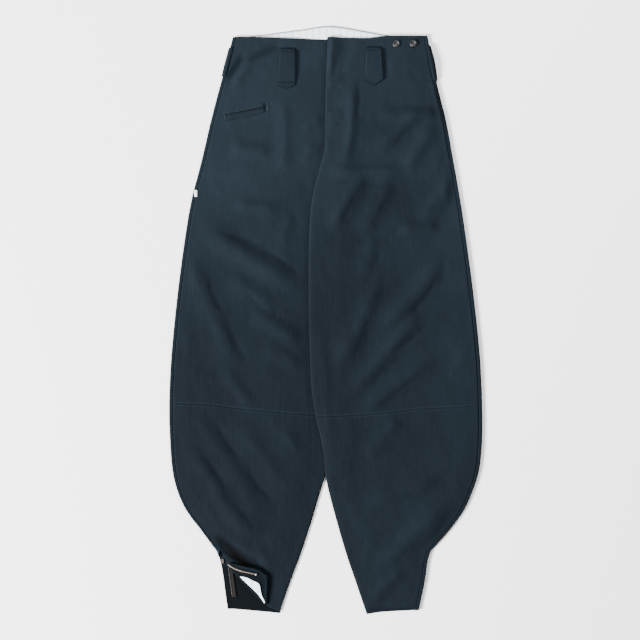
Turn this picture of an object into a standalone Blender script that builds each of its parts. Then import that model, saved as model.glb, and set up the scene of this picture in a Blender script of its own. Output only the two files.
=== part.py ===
"""Wide tobi work trousers laid flat, tapering from full calves to zipped ankle cuffs.

The garment lies face up with its waist towards +Y. Right and left are the wearer's: the right leg
is at -X. Sizes are millimetres, and MM turns them into metres when a mesh is made.
"""

import math

import bmesh
import bpy
from mathutils import Vector
from mathutils.bvhtree import BVHTree

MM = 0.001

# Cloth
CLOTH = 1.2
THIN = 1.0
STRAP = 1.6
GAP = 0.3

# Heights of the layers
FRONT_UNDER = CLOTH + GAP
FRONT_ON_FRONT = CLOTH + 0.5
LEG_ON_LEG = 2 * CLOTH + 2 * GAP + 0.2
LEG_CLEARANCE = 0.2
CLEARANCE_RAMP = 20

# How far the fronts stand off the backs, and how far from an edge they have come up to it
BODY_LOFT = 3.0
SIDE_LOFT = 1.8
WAIST_LIFT = 1.4
WAIST_BAND = 16
WAIST_RAMP = 30
HEM_SHARE = 0.4
HEM_RAMP = 70
SIDE_RAMP = 30
INNER_RAMP = 60
EDGE_RAMP = 8
EDGE_SHARE = 0.4
LEAST_LOFT = 0.1

# How far from an edge the folds have their full height, and how soon along their length
FADE_INNER = 10
FADE_SIDE = 22
FOLD_END_SHARE = 0.3

# Side folds
SIDE_BEND = 2.25
SIDE_SEAM_INSET = 6.5
SIDE_SEAM_GAP = 0.45
BEND_STEPS = 6
LEAST_TURN = 0.01
SEAM_SHIFT = 4.0
SEAM_SHIFT_RUN = 30

# Heights up the garment
KNEE = -165
CUFF_TOP = -422
WRAP_END = -414
ZIP_TOP = -437
CROTCH_SEWN = 361
CROTCH_CROSSED = 313
UNDERLAP_END = 372
SPLIT_CLEAR = -300
SPLIT_FLAT = -350

UNDERLAP = 22
UNDER_LEFT_LEG = 2.5
LEAST_OVERLAP = 5
RAMP = 48

# Outer edge of each leg down to the top of its cuff: height, x.
RIGHT_SIDE = (
    (520, -171),
    (442, -191.5),
    (368, -211),
    (295, -228),
    (221, -247),
    (148, -259.5),
    (37, -274),
    (-73, -284.5),
    (-156, -288),
    (-220, -286.5),
    (-276, -282),
    (-312, -273.5),
    (-349, -257),
    (-386, -229.5),
    (-423, -202),
)
LEFT_SIDE = (
    (523, 187),
    (442, 203),
    (368, 221),
    (295, 234.5),
    (221, 247.5),
    (148, 258.5),
    (37, 273),
    (-73, 284),
    (-175, 288),
    (-230, 287),
    (-276, 282),
    (-312, 271),
    (-349, 254),
    (-386, 227),
    (-423, 194),
)
# Outer edge of each cuff: height, x.
RIGHT_CUFF_SIDE = ((-422, -202), (-441, -194.5), (-469, -189), (-496, -185.5), (-531, -180.5))
LEFT_CUFF_SIDE = ((-422, 194), (-441, 188), (-478, 182.5), (-533, 171))
# Inner edge of the left leg, which lies over the right one, from the fly to the hem: height, x.
LEFT_INNER = (
    (521, 3),
    (424, -0.5),
    (332, -1.5),
    (313, -3),
    (286, -9.5),
    (247, -20),
    (216, -26),
    (170, -30),
    (110, -31.5),
    (20, -31.5),
    (-36, -30),
    (-116, -27),
    (-178, -18.5),
    (-220, -8.5),
    (-255, -2.7),
    (-287, -0.2),
    (-331, 9.5),
    (-423, 35.5),
    (-478, 54),
    (-541, 75.5),
)
# Inner edge of the right leg, hidden under the left one down to the split: height, x.
RIGHT_INNER = (
    (540, 0.5),
    (313, 0.5),
    (286, 3),
    (221, 15),
    (92, 24.5),
    (-55, 26),
    (-147, 22.5),
    (-202, 15),
    (-248, 7),
    (-287, -1.4),
    (-331, -14.5),
    (-368, -25.5),
    (-423, -43.5),
    (-478, -64),
    (-515, -77),
    (-539, -85),
)
# Where the left leg starts to come down from the right leg: height, x.
STEP = (
    (523, 24),
    (221, 24),
    (92, 26.5),
    (-55, 28),
    (-147, 24.5),
    (-202, 18),
    (-250, 11),
    (-287, 9),
    (-342, 23),
    (-423, 46),
    (-541, 86),
)
# Edges across the garment: x, height.
WAIST_RIGHT = ((-171, 520.4), (-147, 521), (-60, 518), (2, 515.4), (25, 514))
WAIST_LEFT = ((0, 521), (40, 519), (75, 518.6), (95, 520.6), (110, 522.6), (187, 523))
WAIST_BACK = ((-171, 520.4), (-147, 521), (-47, 534), (8, 540.8), (74, 531), (120, 523.5), (187, 523))
KNEE_RIGHT = ((-282, -152.5), (-211, -156), (-165, -161.5), (-88, -169), (25, -178))
KNEE_LEFT = ((-20, -178), (81, -172.5), (166, -163.5), (242, -159.5), (282, -156))
HEM_RIGHT = ((-181, -530), (-97, -537.5), (-85, -539))
HEM_LEFT = ((75, -540.8), (105, -536.5), (171, -533))
FRONT_HEM_RIGHT = ((-107, -526), (-85, -536))
FRONT_HEM_LEFT = ((74, -533), (90, -531), (171, -527.5))

# Levels of the grids, as heights at the inner edge of a thigh and at the outer edge of a shin.
THIGH_LEVELS = (
    518, 496, 473, 450, 427, 404, 383, 361, 337, 313, 289, 265, 241, 217, 193, 169,
    145, 121, 97, 73, 49, 25, 1, -23, -47, -71, -95, -119, -140, -160, -178,
)
BACK_THIGH_LEVELS = (540, 496, 450, 404, 361, 313, 265, 241, 217, 169, 121, 73, 25, -23, -71, -119, -178)
SHIN_LEVELS = (-180, -206, -232, -258, -281, -304, -326, -346, -366, -386, -400, -414, -422, -430, -437)
OPEN_CUFF_LEVELS = (-445, -468, -496)
THIGH_COLUMNS = 19
SHIN_COLUMNS = 16
UNDER_COLUMNS = 2
LEFT_THIGH_COLUMNS = 15
LEFT_SHIN_COLUMNS = 12
LEFT_STEP_COLUMNS = 2
BACK_COLUMNS = 6
LEFT_BACK_COLUMNS = 4
MEETING_ROUNDS = 6

# Largest folds: start x, start height, end x, end height, bow, half width, rise.
RIGHT_FOLDS = (
    (-234, 172, -36, 58, -2, 20, 6.8),
    (-196, 178, -70, 98, 0, 12, -1.2),
    (-180, 84, -84, 24, -3, 15, 3.2),
    (-142, 14, -40, -44, 3, 15, 3.8),
    (-120, -50, -38, -86, 0, 13, 2.6),
    (-262, 132, -162, -100, 5, 18, 4.2),
    (-194, -76, -128, -164, -4, 12, 2.4),
    (-256, -146, -100, -372, -3, 16, 2.7),
    (-214, -170, -94, -342, 0, 11, -0.8),
    (-176, -168, -66, -318, 0, 14, 2.4),
    (-116, -166, -46, -246, 3, 12, 1.4),
    (-254, -226, -180, -336, 0, 12, 1.6),
    (-224, -302, -116, -408, 0, 17, 3.3),
    (-214, -400, -106, -462, 0, 12, -4.0),
    (-190, 426, -144, 496, 0, 9, -3.2),
    (-158, 470, -74, 514, 0, 8, -3.0),
    (-178, 420, -128, 494, 0, 10, 2.0),
    (-78, 416, -76, 262, 0, 12, 2.8),
    (-182, 314, -96, 308, 2, 12, 3.6),
    (-176, 208, -80, 204, 2, 13, 3.8),
    (-62, 204, -82, 132, 0, 11, 2.0),
    (-44, 352, -2, 372, 0, 10, 1.8),
    (-52, 292, -10, 322, 0, 9, 1.6),
)
LEFT_FOLDS = (
    (20, 538, -8, 440, 0, 13, 4.4),
    (50, 524, 10, 430, 0, 10, -2.4),
    (34, 456, -2, 432, 0, 7, 1.6),
    (34, 374, 2, 368, 0, 6, 1.2),
    (46, 452, 30, 268, 9, 10, 3.6),
    (88, 372, 218, 382, 2, 12, 5.4),
    (184, 394, 88, 308, 0, 13, 4.6),
    (200, 362, 142, 268, 0, 14, 4.4),
    (152, 276, 0, 272, 0, 11, 4.0),
    (128, 272, 62, 146, -3, 15, 5.0),
    (78, 274, 4, 156, -3, 14, 4.2),
    (248, 284, 162, 174, 8, 14, 5.0),
    (128, 166, 214, 174, 0, 12, 4.4),
    (88, 162, 68, 76, 0, 14, 2.8),
    (100, 98, 14, -98, 8, 17, 5.0),
    (222, 124, 88, -16, 12, 17, 7.2),
    (228, 8, 140, -20, 0, 11, 2.0),
    (180, 20, 40, -144, 0, 15, 6.0),
    (204, -68, 46, -178, 0, 15, 6.0),
    (-12, 10, 10, -270, 0, 12, 1.8),
    (142, -170, 70, -258, 0, 15, 2.6),
    (222, -290, 64, -342, 0, 14, 4.8),
    (236, -332, 84, -462, 0, 19, 5.2),
    (150, -452, 76, -520, 0, 12, 3.0),
)

# Turned corner of the right cuff. The fold runs down from FOLD_TOP to FOLD_END.
FOLD_TOP = (-183.5, -445)
FOLD_END = (-106.5, -526)
ROLL = 2.4
ROLL_ANGLE = math.radians(173)
# Flap beyond the roll: distance along the fold, reach from it.
FLAP = ((4, 5), (20, 15), (36, 26), (50, 35), (62, 38.5), (71, 37.5), (84, 26), (95, 13.5), (106, 3))
FLAP_STEPS = 4
# White lining on the flap: distance along the fold, its lower and upper edge from the roll.
LEAF = (
    (37, 2.0, 3.2), (46, 2.0, 9.6), (58, 2.6, 14.4), (71, 3.6, 18.3), (79, 3.6, 13.2), (88, 2.8, 7.6),
    (97, 1.6, 4.4), (103, 0.8, 2.2),
)
# Front zip tape on the flap: distance along the fold, distance from it.
FRONT_ZIP = ((5.5, 0.5), (10, 1.2), (21, 5), (33, 11.5), (43, 18.5), (52, 24.5))
TAPE = 4.0
TAPE_STEPS = 8
# Back zip tape: height, x of its middle.
BACK_ZIP = ((-455, -175.5), (-472, -173.5), (-490, -171), (-509, -168.5))
BACK_TAPE = 8.0
SLIDER_AT = (-189.5, -443)
SLIDER = (4.4, 8.0, 3.0)
SLIDER_EDGE = 0.7

# Belt loops on the fronts: top middle x and height, bottom middle x and height, length of the point.
RIGHT_LOOP = (-70.6, 499, -72.6, 431, 6)
LEFT_LOOP = (87.2, 501.5, 89.0, 442, 11)
LOOP_WIDTHS = (28, 34.5)
LOOP_BULGE = 3.2
LOOP_BULGE_SHARE = 0.25
LOOP_STEPS = 12
LOOP_ACROSS = (-1, -0.5, 0, 0.5, 1)
# Belt loops at the side folds: top height, bottom height, how far the middle stands out.
SIDE_RIGHT_LOOP = (501, 449, 0.4)
SIDE_LEFT_LOOP = (505, 441, 2.6)
SIDE_LOOP_TOP = 3.8
SIDE_LOOP_STEPS = 8
SIDE_LOOP_BEND_STEPS = 5

# Ring buttons: x, height.
BUTTONS = {"waist_button_inner": (129.5, 507.5), "waist_button_outer": (160.5, 507.8)}
BUTTON_RIM = 6.5
# Turned profile of a button, from the middle of its top: radius, height.
BUTTON_PROFILE = (
    (0, 1.1), (2.9, 1.0), (3.4, 1.7), (4.4, 2.4), (5.6, 2.2), (6.4, 1.4), (BUTTON_RIM, 0.5),
    (6.0, 0), (0, 0),
)
BUTTON_STEPS = 18
# What lies on a panel looks for it from this height, at so many places round a button.
PROBE_HEIGHT = 100
PROBES = 12

# Coin pocket welt: the ends of its upper edge, and its depth.
WELT = (-187, 377.5, -113, 392.5)
WELT_DEPTH = 13
WELT_STEPS = 10

# Waist lining, inside the back: its ends, its step below the back's top edge, its hidden part.
LINING_ENDS = (-146, 119)
LINING_BELOW_EDGE = 1.3
LINING_HIDDEN = 14
LINING_COLUMNS = 14

# Label: its width and length, its middle's height, and its columns as shares off the seam.
LABEL = (5, 12)
LABEL_HEIGHT = 233
LABEL_COLUMNS = (-0.75, -0.25, 0.25)

# Shares across a narrow strip.
STRIP = (0.0, 0.5, 1.0)

# Colours: red, green, blue in linear light, roughness, metallic.
FINISHES = {
    "twill": ((0.022, 0.037, 0.050), 0.88, 0.0),
    "twill_inside": ((0.018, 0.030, 0.041), 0.9, 0.0),
    "lining": ((0.74, 0.80, 0.84), 0.85, 0.0),
    "tape": ((0.060, 0.040, 0.038), 0.85, 0.0),
    "label": ((0.78, 0.79, 0.78), 0.8, 0.0),
    "gunmetal": ((0.16, 0.16, 0.17), 0.35, 1.0),
    "brass": ((0.52, 0.40, 0.26), 0.35, 1.0),
}


def mix(a, b, share):
    """The value at a share of the way from a to b."""
    return a + (b - a) * share


def smooth(share):
    """A soft step from 0 to 1."""
    share = min(max(share, 0.0), 1.0)
    return share * share * (3 - 2 * share)


def ramp(share):
    """A straight step from 0 to 1."""
    return min(max(share, 0.0), 1.0)


def curve(rows, at):
    """Second column of a table at a value of its first, on a smooth curve through the rows."""
    rows = sorted(rows)
    last = len(rows) - 1

    def slope(k):
        before, after = rows[max(k - 1, 0)], rows[min(k + 1, last)]
        return (after[1] - before[1]) / (after[0] - before[0])

    k = 0
    while k < last - 1 and rows[k + 1][0] < at:
        k += 1
    (a, low), (b, high) = rows[k], rows[k + 1]
    t = ramp((at - a) / (b - a))
    rise = (b - a) * t * (1 - t)
    return mix(low, high, t * t * (3 - 2 * t)) + rise * ((1 - t) * slope(k) - t * slope(k + 1))


def right_side(y):
    """Outline of the right leg."""
    return curve(RIGHT_SIDE if y > CUFF_TOP else RIGHT_CUFF_SIDE, y)


def left_side(y):
    """Outline of the left leg."""
    return curve(LEFT_SIDE if y > CUFF_TOP else LEFT_CUFF_SIDE, y)


def right_seam(y):
    """Side edge of the right fronts. It leaves the outline where the zip is open."""
    return right_side(y) + SIDE_SEAM_INSET + SEAM_SHIFT * smooth((WRAP_END - y) / SEAM_SHIFT_RUN)


def left_seam(y):
    """Side edge of the left fronts."""
    return left_side(y) - SIDE_SEAM_INSET


def left_inner(y):
    """Inner edge of the left fronts."""
    return curve(LEFT_INNER, y)


def left_back_inner(y):
    """Inner edge of the left back: the centre seam, then the inside of the leg."""
    return curve(RIGHT_INNER, y) + GAP / 2 if y >= CROTCH_CROSSED else left_inner(y)


def right_back_inner(y):
    """Inner edge of the right back."""
    return curve(RIGHT_INNER, y) - GAP / 2


def right_front_inner(y):
    """Inner edge of the right fronts, which run on under the fly."""
    under = ramp((y - CROTCH_SEWN) / (UNDERLAP_END - CROTCH_SEWN))
    return right_back_inner(y) + UNDERLAP * under


def right_front_hem(x):
    """Lower edge of the right front: the turned fold, then the hem."""
    if x > FOLD_END[0]:
        return curve(FRONT_HEM_RIGHT, x)
    return mix(FOLD_TOP[1], FOLD_END[1], ramp((x - FOLD_TOP[0]) / (FOLD_END[0] - FOLD_TOP[0])))


def line(rows, shift=0.0):
    """A cross line as a function of x, moved up by shift."""
    return lambda x: curve(rows, x) + shift


def leg_step(y):
    """Height of the left leg over the right leg, at their overlap."""
    up = ramp((CROTCH_SEWN - y) / (CROTCH_SEWN - CROTCH_CROSSED))
    down = ramp((y - SPLIT_FLAT) / (SPLIT_CLEAR - SPLIT_FLAT))
    return LEG_ON_LEG * min(up, down)


def past_step(x, y):
    """1 over the right leg, and 0 where the left leg has come down beside it."""
    return 1 - ramp((x - curve(STEP, y)) / RAMP)


def folds(rows, x, y):
    """Height of the folds of a table at a point."""
    total = 0.0
    for x0, y0, x1, y1, bow, width, rise in rows:
        dx, dy = x1 - x0, y1 - y0
        length = math.hypot(dx, dy)
        t = ((x - x0) * dx + (y - y0) * dy) / length**2
        if 0 < t < 1:
            aside = ((y - y0) * dx - (x - x0) * dy) / length - bow * 4 * t * (1 - t)
            ends = smooth(t / FOLD_END_SHARE) * smooth((1 - t) / FOLD_END_SHARE)
            total += rise * ends * math.exp(-((aside / width) ** 2))
    return total


def loft(to_inner, to_side, below_waist, above_hem):
    """How far a front stands off its back, by the distances to its edges."""
    body = BODY_LOFT * mix(HEM_SHARE, 1, smooth(above_hem / HEM_RAMP))
    inside = mix(smooth(to_inner / INNER_RAMP), smooth(to_inner / EDGE_RAMP), EDGE_SHARE)
    stand = mix(SIDE_LOFT, body, smooth(to_side / SIDE_RAMP)) * inside
    return max(stand, WAIST_LIFT * (1 - smooth((below_waist - WAIST_BAND) / WAIST_RAMP)))


def front_top(rows, x, y, to_inner, to_side, below_waist, above_hem, base):
    """Height of a front's outer face."""
    stand = loft(to_inner, to_side, below_waist, above_hem)
    fade = smooth(to_inner / FADE_INNER) * smooth(to_side / FADE_SIDE)
    stand = max(stand + fade * folds(rows, x, y), min(stand, LEAST_LOFT))
    return FRONT_UNDER + base + stand + CLOTH


def right_front_top(x, y):
    """Outer face of the right fronts, which lie flat where the left leg covers them."""
    inner = min(left_inner(y) - UNDER_LEFT_LEG, right_front_inner(y))
    waist = curve(WAIST_RIGHT, x)
    return front_top(
        RIGHT_FOLDS, x, y, inner - x, x - right_seam(y), waist - y, y - curve(HEM_RIGHT, x), 0
    )


def left_front_top(x, y):
    """Outer face of the left fronts, over the fly's underlap and the right leg."""
    over = leg_step(y) + LEG_CLEARANCE * ramp((y - SPLIT_FLAT) / CLEARANCE_RAMP)
    if y > CROTCH_CROSSED:
        over = max(over, FRONT_ON_FRONT)
    waist = curve(WAIST_LEFT, x)
    return front_top(
        LEFT_FOLDS, x, y, x - left_inner(y), left_seam(y) - x, waist - y,
        y - curve(HEM_LEFT, x), over * past_step(x, y),
    )


def even(count):
    """Columns at even steps from the outer edge to the inner edge."""
    return lambda y, outer, inner: [mix(outer, inner, k / count) for k in range(count + 1)]


def tucked(count, across):
    """Columns of a right panel, with one where it goes flat under the left leg."""

    def columns(y, outer, inner):
        flat = min(left_inner(y) - UNDER_LEFT_LEG, inner - LEAST_OVERLAP)
        outside = [mix(outer, flat, k / count) for k in range(count + 1)]
        return outside + [mix(flat, inner, k / across) for k in range(1, across + 1)]

    return columns


def stepped(count, across):
    """Columns of a left panel, with one at each end of the ramp beside the right leg."""

    def columns(y, outer, inner):
        top = max(curve(STEP, y), inner + LEAST_OVERLAP)
        foot = top + RAMP
        outside = [mix(outer, foot, k / count) for k in range(count + 1)]
        slope = [mix(foot, top, k / across) for k in range(1, across + 1)]
        inside = [mix(top, inner, k / across) for k in range(1, across + 1)]
        return outside + slope + inside

    return columns


def shares(levels):
    """Heights as shares of the way down from the first to the last."""
    return [(levels[0] - y) / (levels[0] - levels[-1]) for y in levels]


def shin_shares(levels, top, bottom, outer):
    """Heights at the outer edge as shares of the way down it, with both its ends."""
    first, last = meet(top, outer, KNEE), meet(bottom, outer, ZIP_TOP)
    return [0.0] + [(first - y) / (first - last) for y in levels] + [1.0]


def meet(cross, edge, start):
    """Height where a cross line meets a side edge."""
    y = start
    for _ in range(MEETING_ROUNDS):
        y = cross(edge(y))
    return y


def plan(top, bottom, outer, inner, down, columns):
    """Plan points of a panel, row by row from the top, each row from the outer to the inner edge."""
    upper_y, lower_y = top(outer(KNEE)), bottom(outer(KNEE))
    upper = columns(
        upper_y, outer(meet(top, outer, upper_y)), inner(meet(top, inner, upper_y))
    )
    lower = columns(
        lower_y, outer(meet(bottom, outer, lower_y)), inner(meet(bottom, inner, lower_y))
    )
    ends = [(top(a), bottom(b)) for a, b in zip(upper, lower)]
    rows = []
    for share in down:
        ys = [mix(a, b, share) for a, b in ends]
        xs = columns(ys[-1], outer(ys[0]), inner(ys[-1]))
        rows.append(list(zip(xs, ys)))
    return rows


def raised(rows, top):
    """Plan points set at the height that top gives."""
    return [[(x, y, top(x, y)) for x, y in row] for row in rows]


def section(angle, radius, length, steps=BEND_STEPS, tail=1):
    """A sheet's turn: how far out and how high it is, round a bend and along a straight end."""
    points = []
    for k in range(1, steps + 1):
        turned = angle * k / steps
        points.append((radius * math.sin(turned), radius * (1 - math.cos(turned))))
    out, up = points[-1] if steps else (0.0, 0.0)
    for k in range(1, tail + 1):
        reach = length * k / tail
        points.append((out + reach * math.cos(angle), up + reach * math.sin(angle)))
    return points


def side_section(y, opens):
    """Section of a back's side edge, which unrolls to lie flat where the zip is open."""
    share = 1 - ramp((WRAP_END - y) / (WRAP_END - ZIP_TOP)) if opens else 1.0
    angle = math.pi * max(share, LEAST_TURN)
    bend = math.pi * SIDE_BEND
    return section(angle, bend / angle, SIDE_SEAM_INSET - SIDE_BEND - SIDE_SEAM_GAP)


def back_rows(side, sign, inner, waist, knee, hem, step, opens, columns):
    """Rows of a back, from the inner edge across the flat part, round the side fold and on top."""

    def flat_edge(y):
        reach = max(out for out, _ in side_section(y, opens))
        return side(y) - sign * reach

    thigh = plan(waist, knee, flat_edge, inner, shares(BACK_THIGH_LEVELS), columns)
    down = shin_shares(SHIN_LEVELS + OPEN_CUFF_LEVELS, knee, hem, side)
    shin = plan(knee, hem, flat_edge, inner, down, columns)
    rows = []
    for row in thigh + shin[1:]:
        points = [(x, y, step(x, y)) for x, y in reversed(row)]
        x, y, _ = points[-1]
        points += [(x + sign * out, y, up) for out, up in side_section(y, opens)]
        rows.append(points)
    return rows


def material(name):
    """Material of a finish."""
    found = bpy.data.materials.get(name)
    if found:
        return found
    colour, roughness, metallic = FINISHES[name]
    made = bpy.data.materials.new(name)
    made.use_nodes = True
    shader = made.node_tree.nodes["Principled BSDF"]
    shader.inputs["Base Color"].default_value = (*colour, 1)
    shader.inputs["Roughness"].default_value = roughness
    shader.inputs["Metallic"].default_value = metallic
    made.diffuse_color = (*colour, 1)
    return made


def add(name, mesh_data, finish):
    """Object of the garment with its finish."""
    made = bpy.data.objects.new(name, mesh_data)
    made.data.materials.append(material(finish))
    garment.objects.link(made)
    return made


def sheet(name, rows, thickness, finish, outward):
    """Cloth from a grid of points on its outer face, thickened inwards.

    outward is a direction that the first face of the grid faces.
    """
    across, down = len(rows[0]) - 1, len(rows) - 1
    mesh = bmesh.new()
    bmesh.ops.create_grid(mesh, x_segments=across, y_segments=down, size=0.5)
    for vertex in mesh.verts:
        column = round((vertex.co.x + 0.5) * across)
        row = round((vertex.co.y + 0.5) * down)
        vertex.co = Vector(rows[row][column]) * MM
    mesh.normal_update()
    mesh.faces.ensure_lookup_table()
    if mesh.faces[0].normal.dot(Vector(outward)) < 0:
        bmesh.ops.reverse_faces(mesh, faces=mesh.faces[:])
    data = bpy.data.meshes.new(name)
    mesh.to_mesh(data)
    mesh.free()
    data.shade_smooth()
    made = add(name, data, finish)
    wall = made.modifiers.new("wall", "SOLIDIFY")
    wall.thickness = thickness * MM
    wall.offset = -1
    wall.use_even_offset = True
    return made


def tree_of(made):
    """Search tree of an object as it is built."""
    return BVHTree.FromObject(made, bpy.context.evaluated_depsgraph_get())


def lay_on(trees, x, y):
    """Height of the topmost of some pieces at a point."""
    found = []
    for tree in trees:
        hit = tree.ray_cast(Vector((x, y, PROBE_HEIGHT)) * MM, Vector((0, 0, -1)))[0]
        if hit:
            found.append(hit.z / MM)
    return max(found)


def make_backs():
    """The two backs. The right one is open at the cuff's zip."""
    flat = back_rows(
        right_side, -1, right_back_inner, line(WAIST_BACK), line(KNEE_RIGHT), line(HEM_RIGHT),
        lambda x, y: 0.0, True, even(BACK_COLUMNS),
    )
    right = sheet("back_right", flat, CLOTH, "twill", (0, 0, -1))
    over = back_rows(
        left_side, 1, left_back_inner, line(WAIST_BACK), line(KNEE_LEFT), line(HEM_LEFT),
        lambda x, y: leg_step(y) * past_step(x, y), False, stepped(LEFT_BACK_COLUMNS, 1),
    )
    left = sheet("back_left", over, CLOTH, "twill", (0, 0, -1))
    return right, left


def make_fronts():
    """The four fronts, joined at the knee seams."""
    thigh = shares(THIGH_LEVELS)
    above, below = GAP / 2, -GAP / 2
    right_knee, left_knee = line(KNEE_RIGHT, below), line(KNEE_LEFT, below)
    left_hem = line(FRONT_HEM_LEFT)
    right_thigh = plan(
        line(WAIST_RIGHT), line(KNEE_RIGHT, above), right_seam, right_front_inner,
        thigh, tucked(THIGH_COLUMNS, UNDER_COLUMNS),
    )
    right_shin = plan(
        right_knee, right_front_hem, right_seam, right_front_inner,
        shin_shares(SHIN_LEVELS, right_knee, right_front_hem, right_seam),
        tucked(SHIN_COLUMNS, UNDER_COLUMNS),
    )
    left_thigh = plan(
        line(WAIST_LEFT), line(KNEE_LEFT, above), left_seam, left_inner,
        thigh, stepped(LEFT_THIGH_COLUMNS, LEFT_STEP_COLUMNS),
    )
    left_shin = plan(
        left_knee, left_hem, left_seam, left_inner,
        shin_shares(SHIN_LEVELS + OPEN_CUFF_LEVELS, left_knee, left_hem, left_seam),
        stepped(LEFT_SHIN_COLUMNS, LEFT_STEP_COLUMNS),
    )
    return {
        "front_right_thigh": right_front(right_thigh, "front_right_thigh"),
        "front_right_shin": right_front(right_shin, "front_right_shin"),
        "front_left_thigh": left_front(left_thigh, "front_left_thigh"),
        "front_left_shin": left_front(left_shin, "front_left_shin"),
    }


def right_front(rows, name):
    """A right front."""
    return sheet(name, raised(rows, right_front_top), CLOTH, "twill", (0, 0, 1))


def left_front(rows, name):
    """A left front."""
    return sheet(name, raised(rows, left_front_top), CLOTH, "twill", (0, 0, 1))


def make_waist_lining():
    """Lining on the inside of the back, seen over the front's waist edge."""
    rows = []
    for share in STRIP:
        row = []
        for k in range(LINING_COLUMNS + 1):
            x = mix(*LINING_ENDS, k / LINING_COLUMNS)
            top = curve(WAIST_BACK, x) - LINING_BELOW_EDGE
            front = curve(WAIST_RIGHT if x < 0 else WAIST_LEFT, x)
            row.append((x, mix(top, front - LINING_HIDDEN, share), FRONT_UNDER + THIN))
        rows.append(row)
    sheet("waist_lining", rows, THIN, "lining", (0, 0, 1))


def make_front_loop(name, place, trees):
    """Wide belt loop with a pointed end, sewn down at both ends and standing off between them."""
    top_x, top_y, end_x, end_y, tip = place
    rows = []
    for k in range(LOOP_STEPS + 1):
        share = k / LOOP_STEPS
        half = mix(*LOOP_WIDTHS, share) / 2
        bulge = LOOP_BULGE * smooth(share / LOOP_BULGE_SHARE)
        bulge *= smooth((1 - share) / LOOP_BULGE_SHARE)
        row = []
        for across in LOOP_ACROSS:
            x = mix(top_x, end_x, share) + half * across
            y = mix(top_y, end_y - tip * (1 - abs(across)), share)
            row.append((x, y, lay_on(trees, x, y) + GAP + STRAP + bulge))
        rows.append(row)
    sheet(name, rows, STRAP, "twill", (0, 0, 1))


def make_side_loop(name, side, sign, place):
    """Belt loop round a side fold."""
    top, bottom, stands = place
    rows = []
    for k in range(SIDE_LOOP_STEPS + 1):
        share = k / SIDE_LOOP_STEPS
        y = mix(top, bottom, share)
        radius = SIDE_BEND + 2 * GAP + STRAP + stands * math.sin(math.pi * share)
        centre = side(y) - sign * SIDE_BEND
        row = [(centre - sign * SIDE_LOOP_TOP, y, SIDE_BEND + radius)]
        for step in range(SIDE_LOOP_BEND_STEPS + 1):
            angle = math.pi / 2 * (1 - step / SIDE_LOOP_BEND_STEPS)
            out, up = radius * math.cos(angle), radius * math.sin(angle)
            row.append((centre + sign * out, y, SIDE_BEND + up))
        row.append((centre + sign * radius, y, 0.0))
        rows.append(row)
    sheet(name, rows, STRAP, "twill", (0, 0, 1))


def make_welt(tree):
    """Welt of the slanted coin pocket."""
    x0, y0, x1, y1 = WELT
    rows = []
    for share in STRIP:
        row = []
        for k in range(WELT_STEPS + 1):
            x = mix(x0, x1, k / WELT_STEPS)
            y = mix(y0, y1, k / WELT_STEPS) - WELT_DEPTH * share
            row.append((x, y, lay_on([tree], x, y) + GAP + CLOTH))
        rows.append(row)
    sheet("coin_pocket_welt", rows, CLOTH, "twill", (0, 0, 1))


def make_label(trees):
    """Blank label caught in the right side seam."""
    seam = right_seam(LABEL_HEIGHT)
    rows = []
    for share in STRIP:
        y = LABEL_HEIGHT + LABEL[1] * (0.5 - share)
        row = []
        for across in LABEL_COLUMNS:
            x = seam + LABEL[0] * across
            row.append((x, y, lay_on(trees, seam - 1, y) + 2 * GAP + THIN))
        rows.append(row)
    sheet("side_label", rows, THIN, "label", (0, 0, 1))


def fold_frame():
    """Length of the cuff's fold, the direction down it and the direction over the front."""
    dx, dy = FOLD_END[0] - FOLD_TOP[0], FOLD_END[1] - FOLD_TOP[1]
    length = math.hypot(dx, dy)
    return length, (dx / length, dy / length), (-dy / length, dx / length)


def on_flap(along, reach, lift=0.0):
    """Point over the flap's outer face: along the fold, out from the roll, and lifted off it."""
    out, up = ROLL * math.sin(ROLL_ANGLE), ROLL * (1 - math.cos(ROLL_ANGLE))
    out += reach * math.cos(ROLL_ANGLE) + lift * math.sin(ROLL_ANGLE)
    up += reach * math.sin(ROLL_ANGLE) - lift * math.cos(ROLL_ANGLE)
    return from_fold(along, out, up)


def from_fold(along, out, up):
    """Point by its distance along the fold, out from the fold and up from the front's inner face."""
    _, down, over = fold_frame()
    x, y = FOLD_TOP[0] + along * down[0], FOLD_TOP[1] + along * down[1]
    base = right_front_top(x, y) - CLOTH
    return x - (out + GAP) * over[0], y - (out + GAP) * over[1], base + up


def make_turned_corner():
    """Corner of the cuff, turned back over the front, with its lining and zip tape."""
    rows = []
    for along, reach in FLAP:
        turn = section(ROLL_ANGLE, ROLL, reach, tail=FLAP_STEPS)
        rows.append([from_fold(along, 0.0, 0.0)] + [from_fold(along, out, up) for out, up in turn])
    sheet("right_cuff_turnback", rows, CLOTH, "twill_inside", (0, 0, -1))

    leaf = []
    for along, lower, upper in LEAF:
        leaf.append([on_flap(along, mix(lower, upper, k), GAP + THIN) for k in STRIP])
    sheet("right_cuff_lining", leaf, THIN, "lining", (0, 0, 1))

    tape = []
    for k in range(TAPE_STEPS + 1):
        along = mix(FRONT_ZIP[0][0], FRONT_ZIP[-1][0], k / TAPE_STEPS)
        start = curve(FRONT_ZIP, along)
        tape.append([on_flap(along, start + TAPE * share, GAP + THIN) for share in STRIP])
    sheet("zip_tape_front", tape, THIN, "tape", (0, 0, 1))


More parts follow.
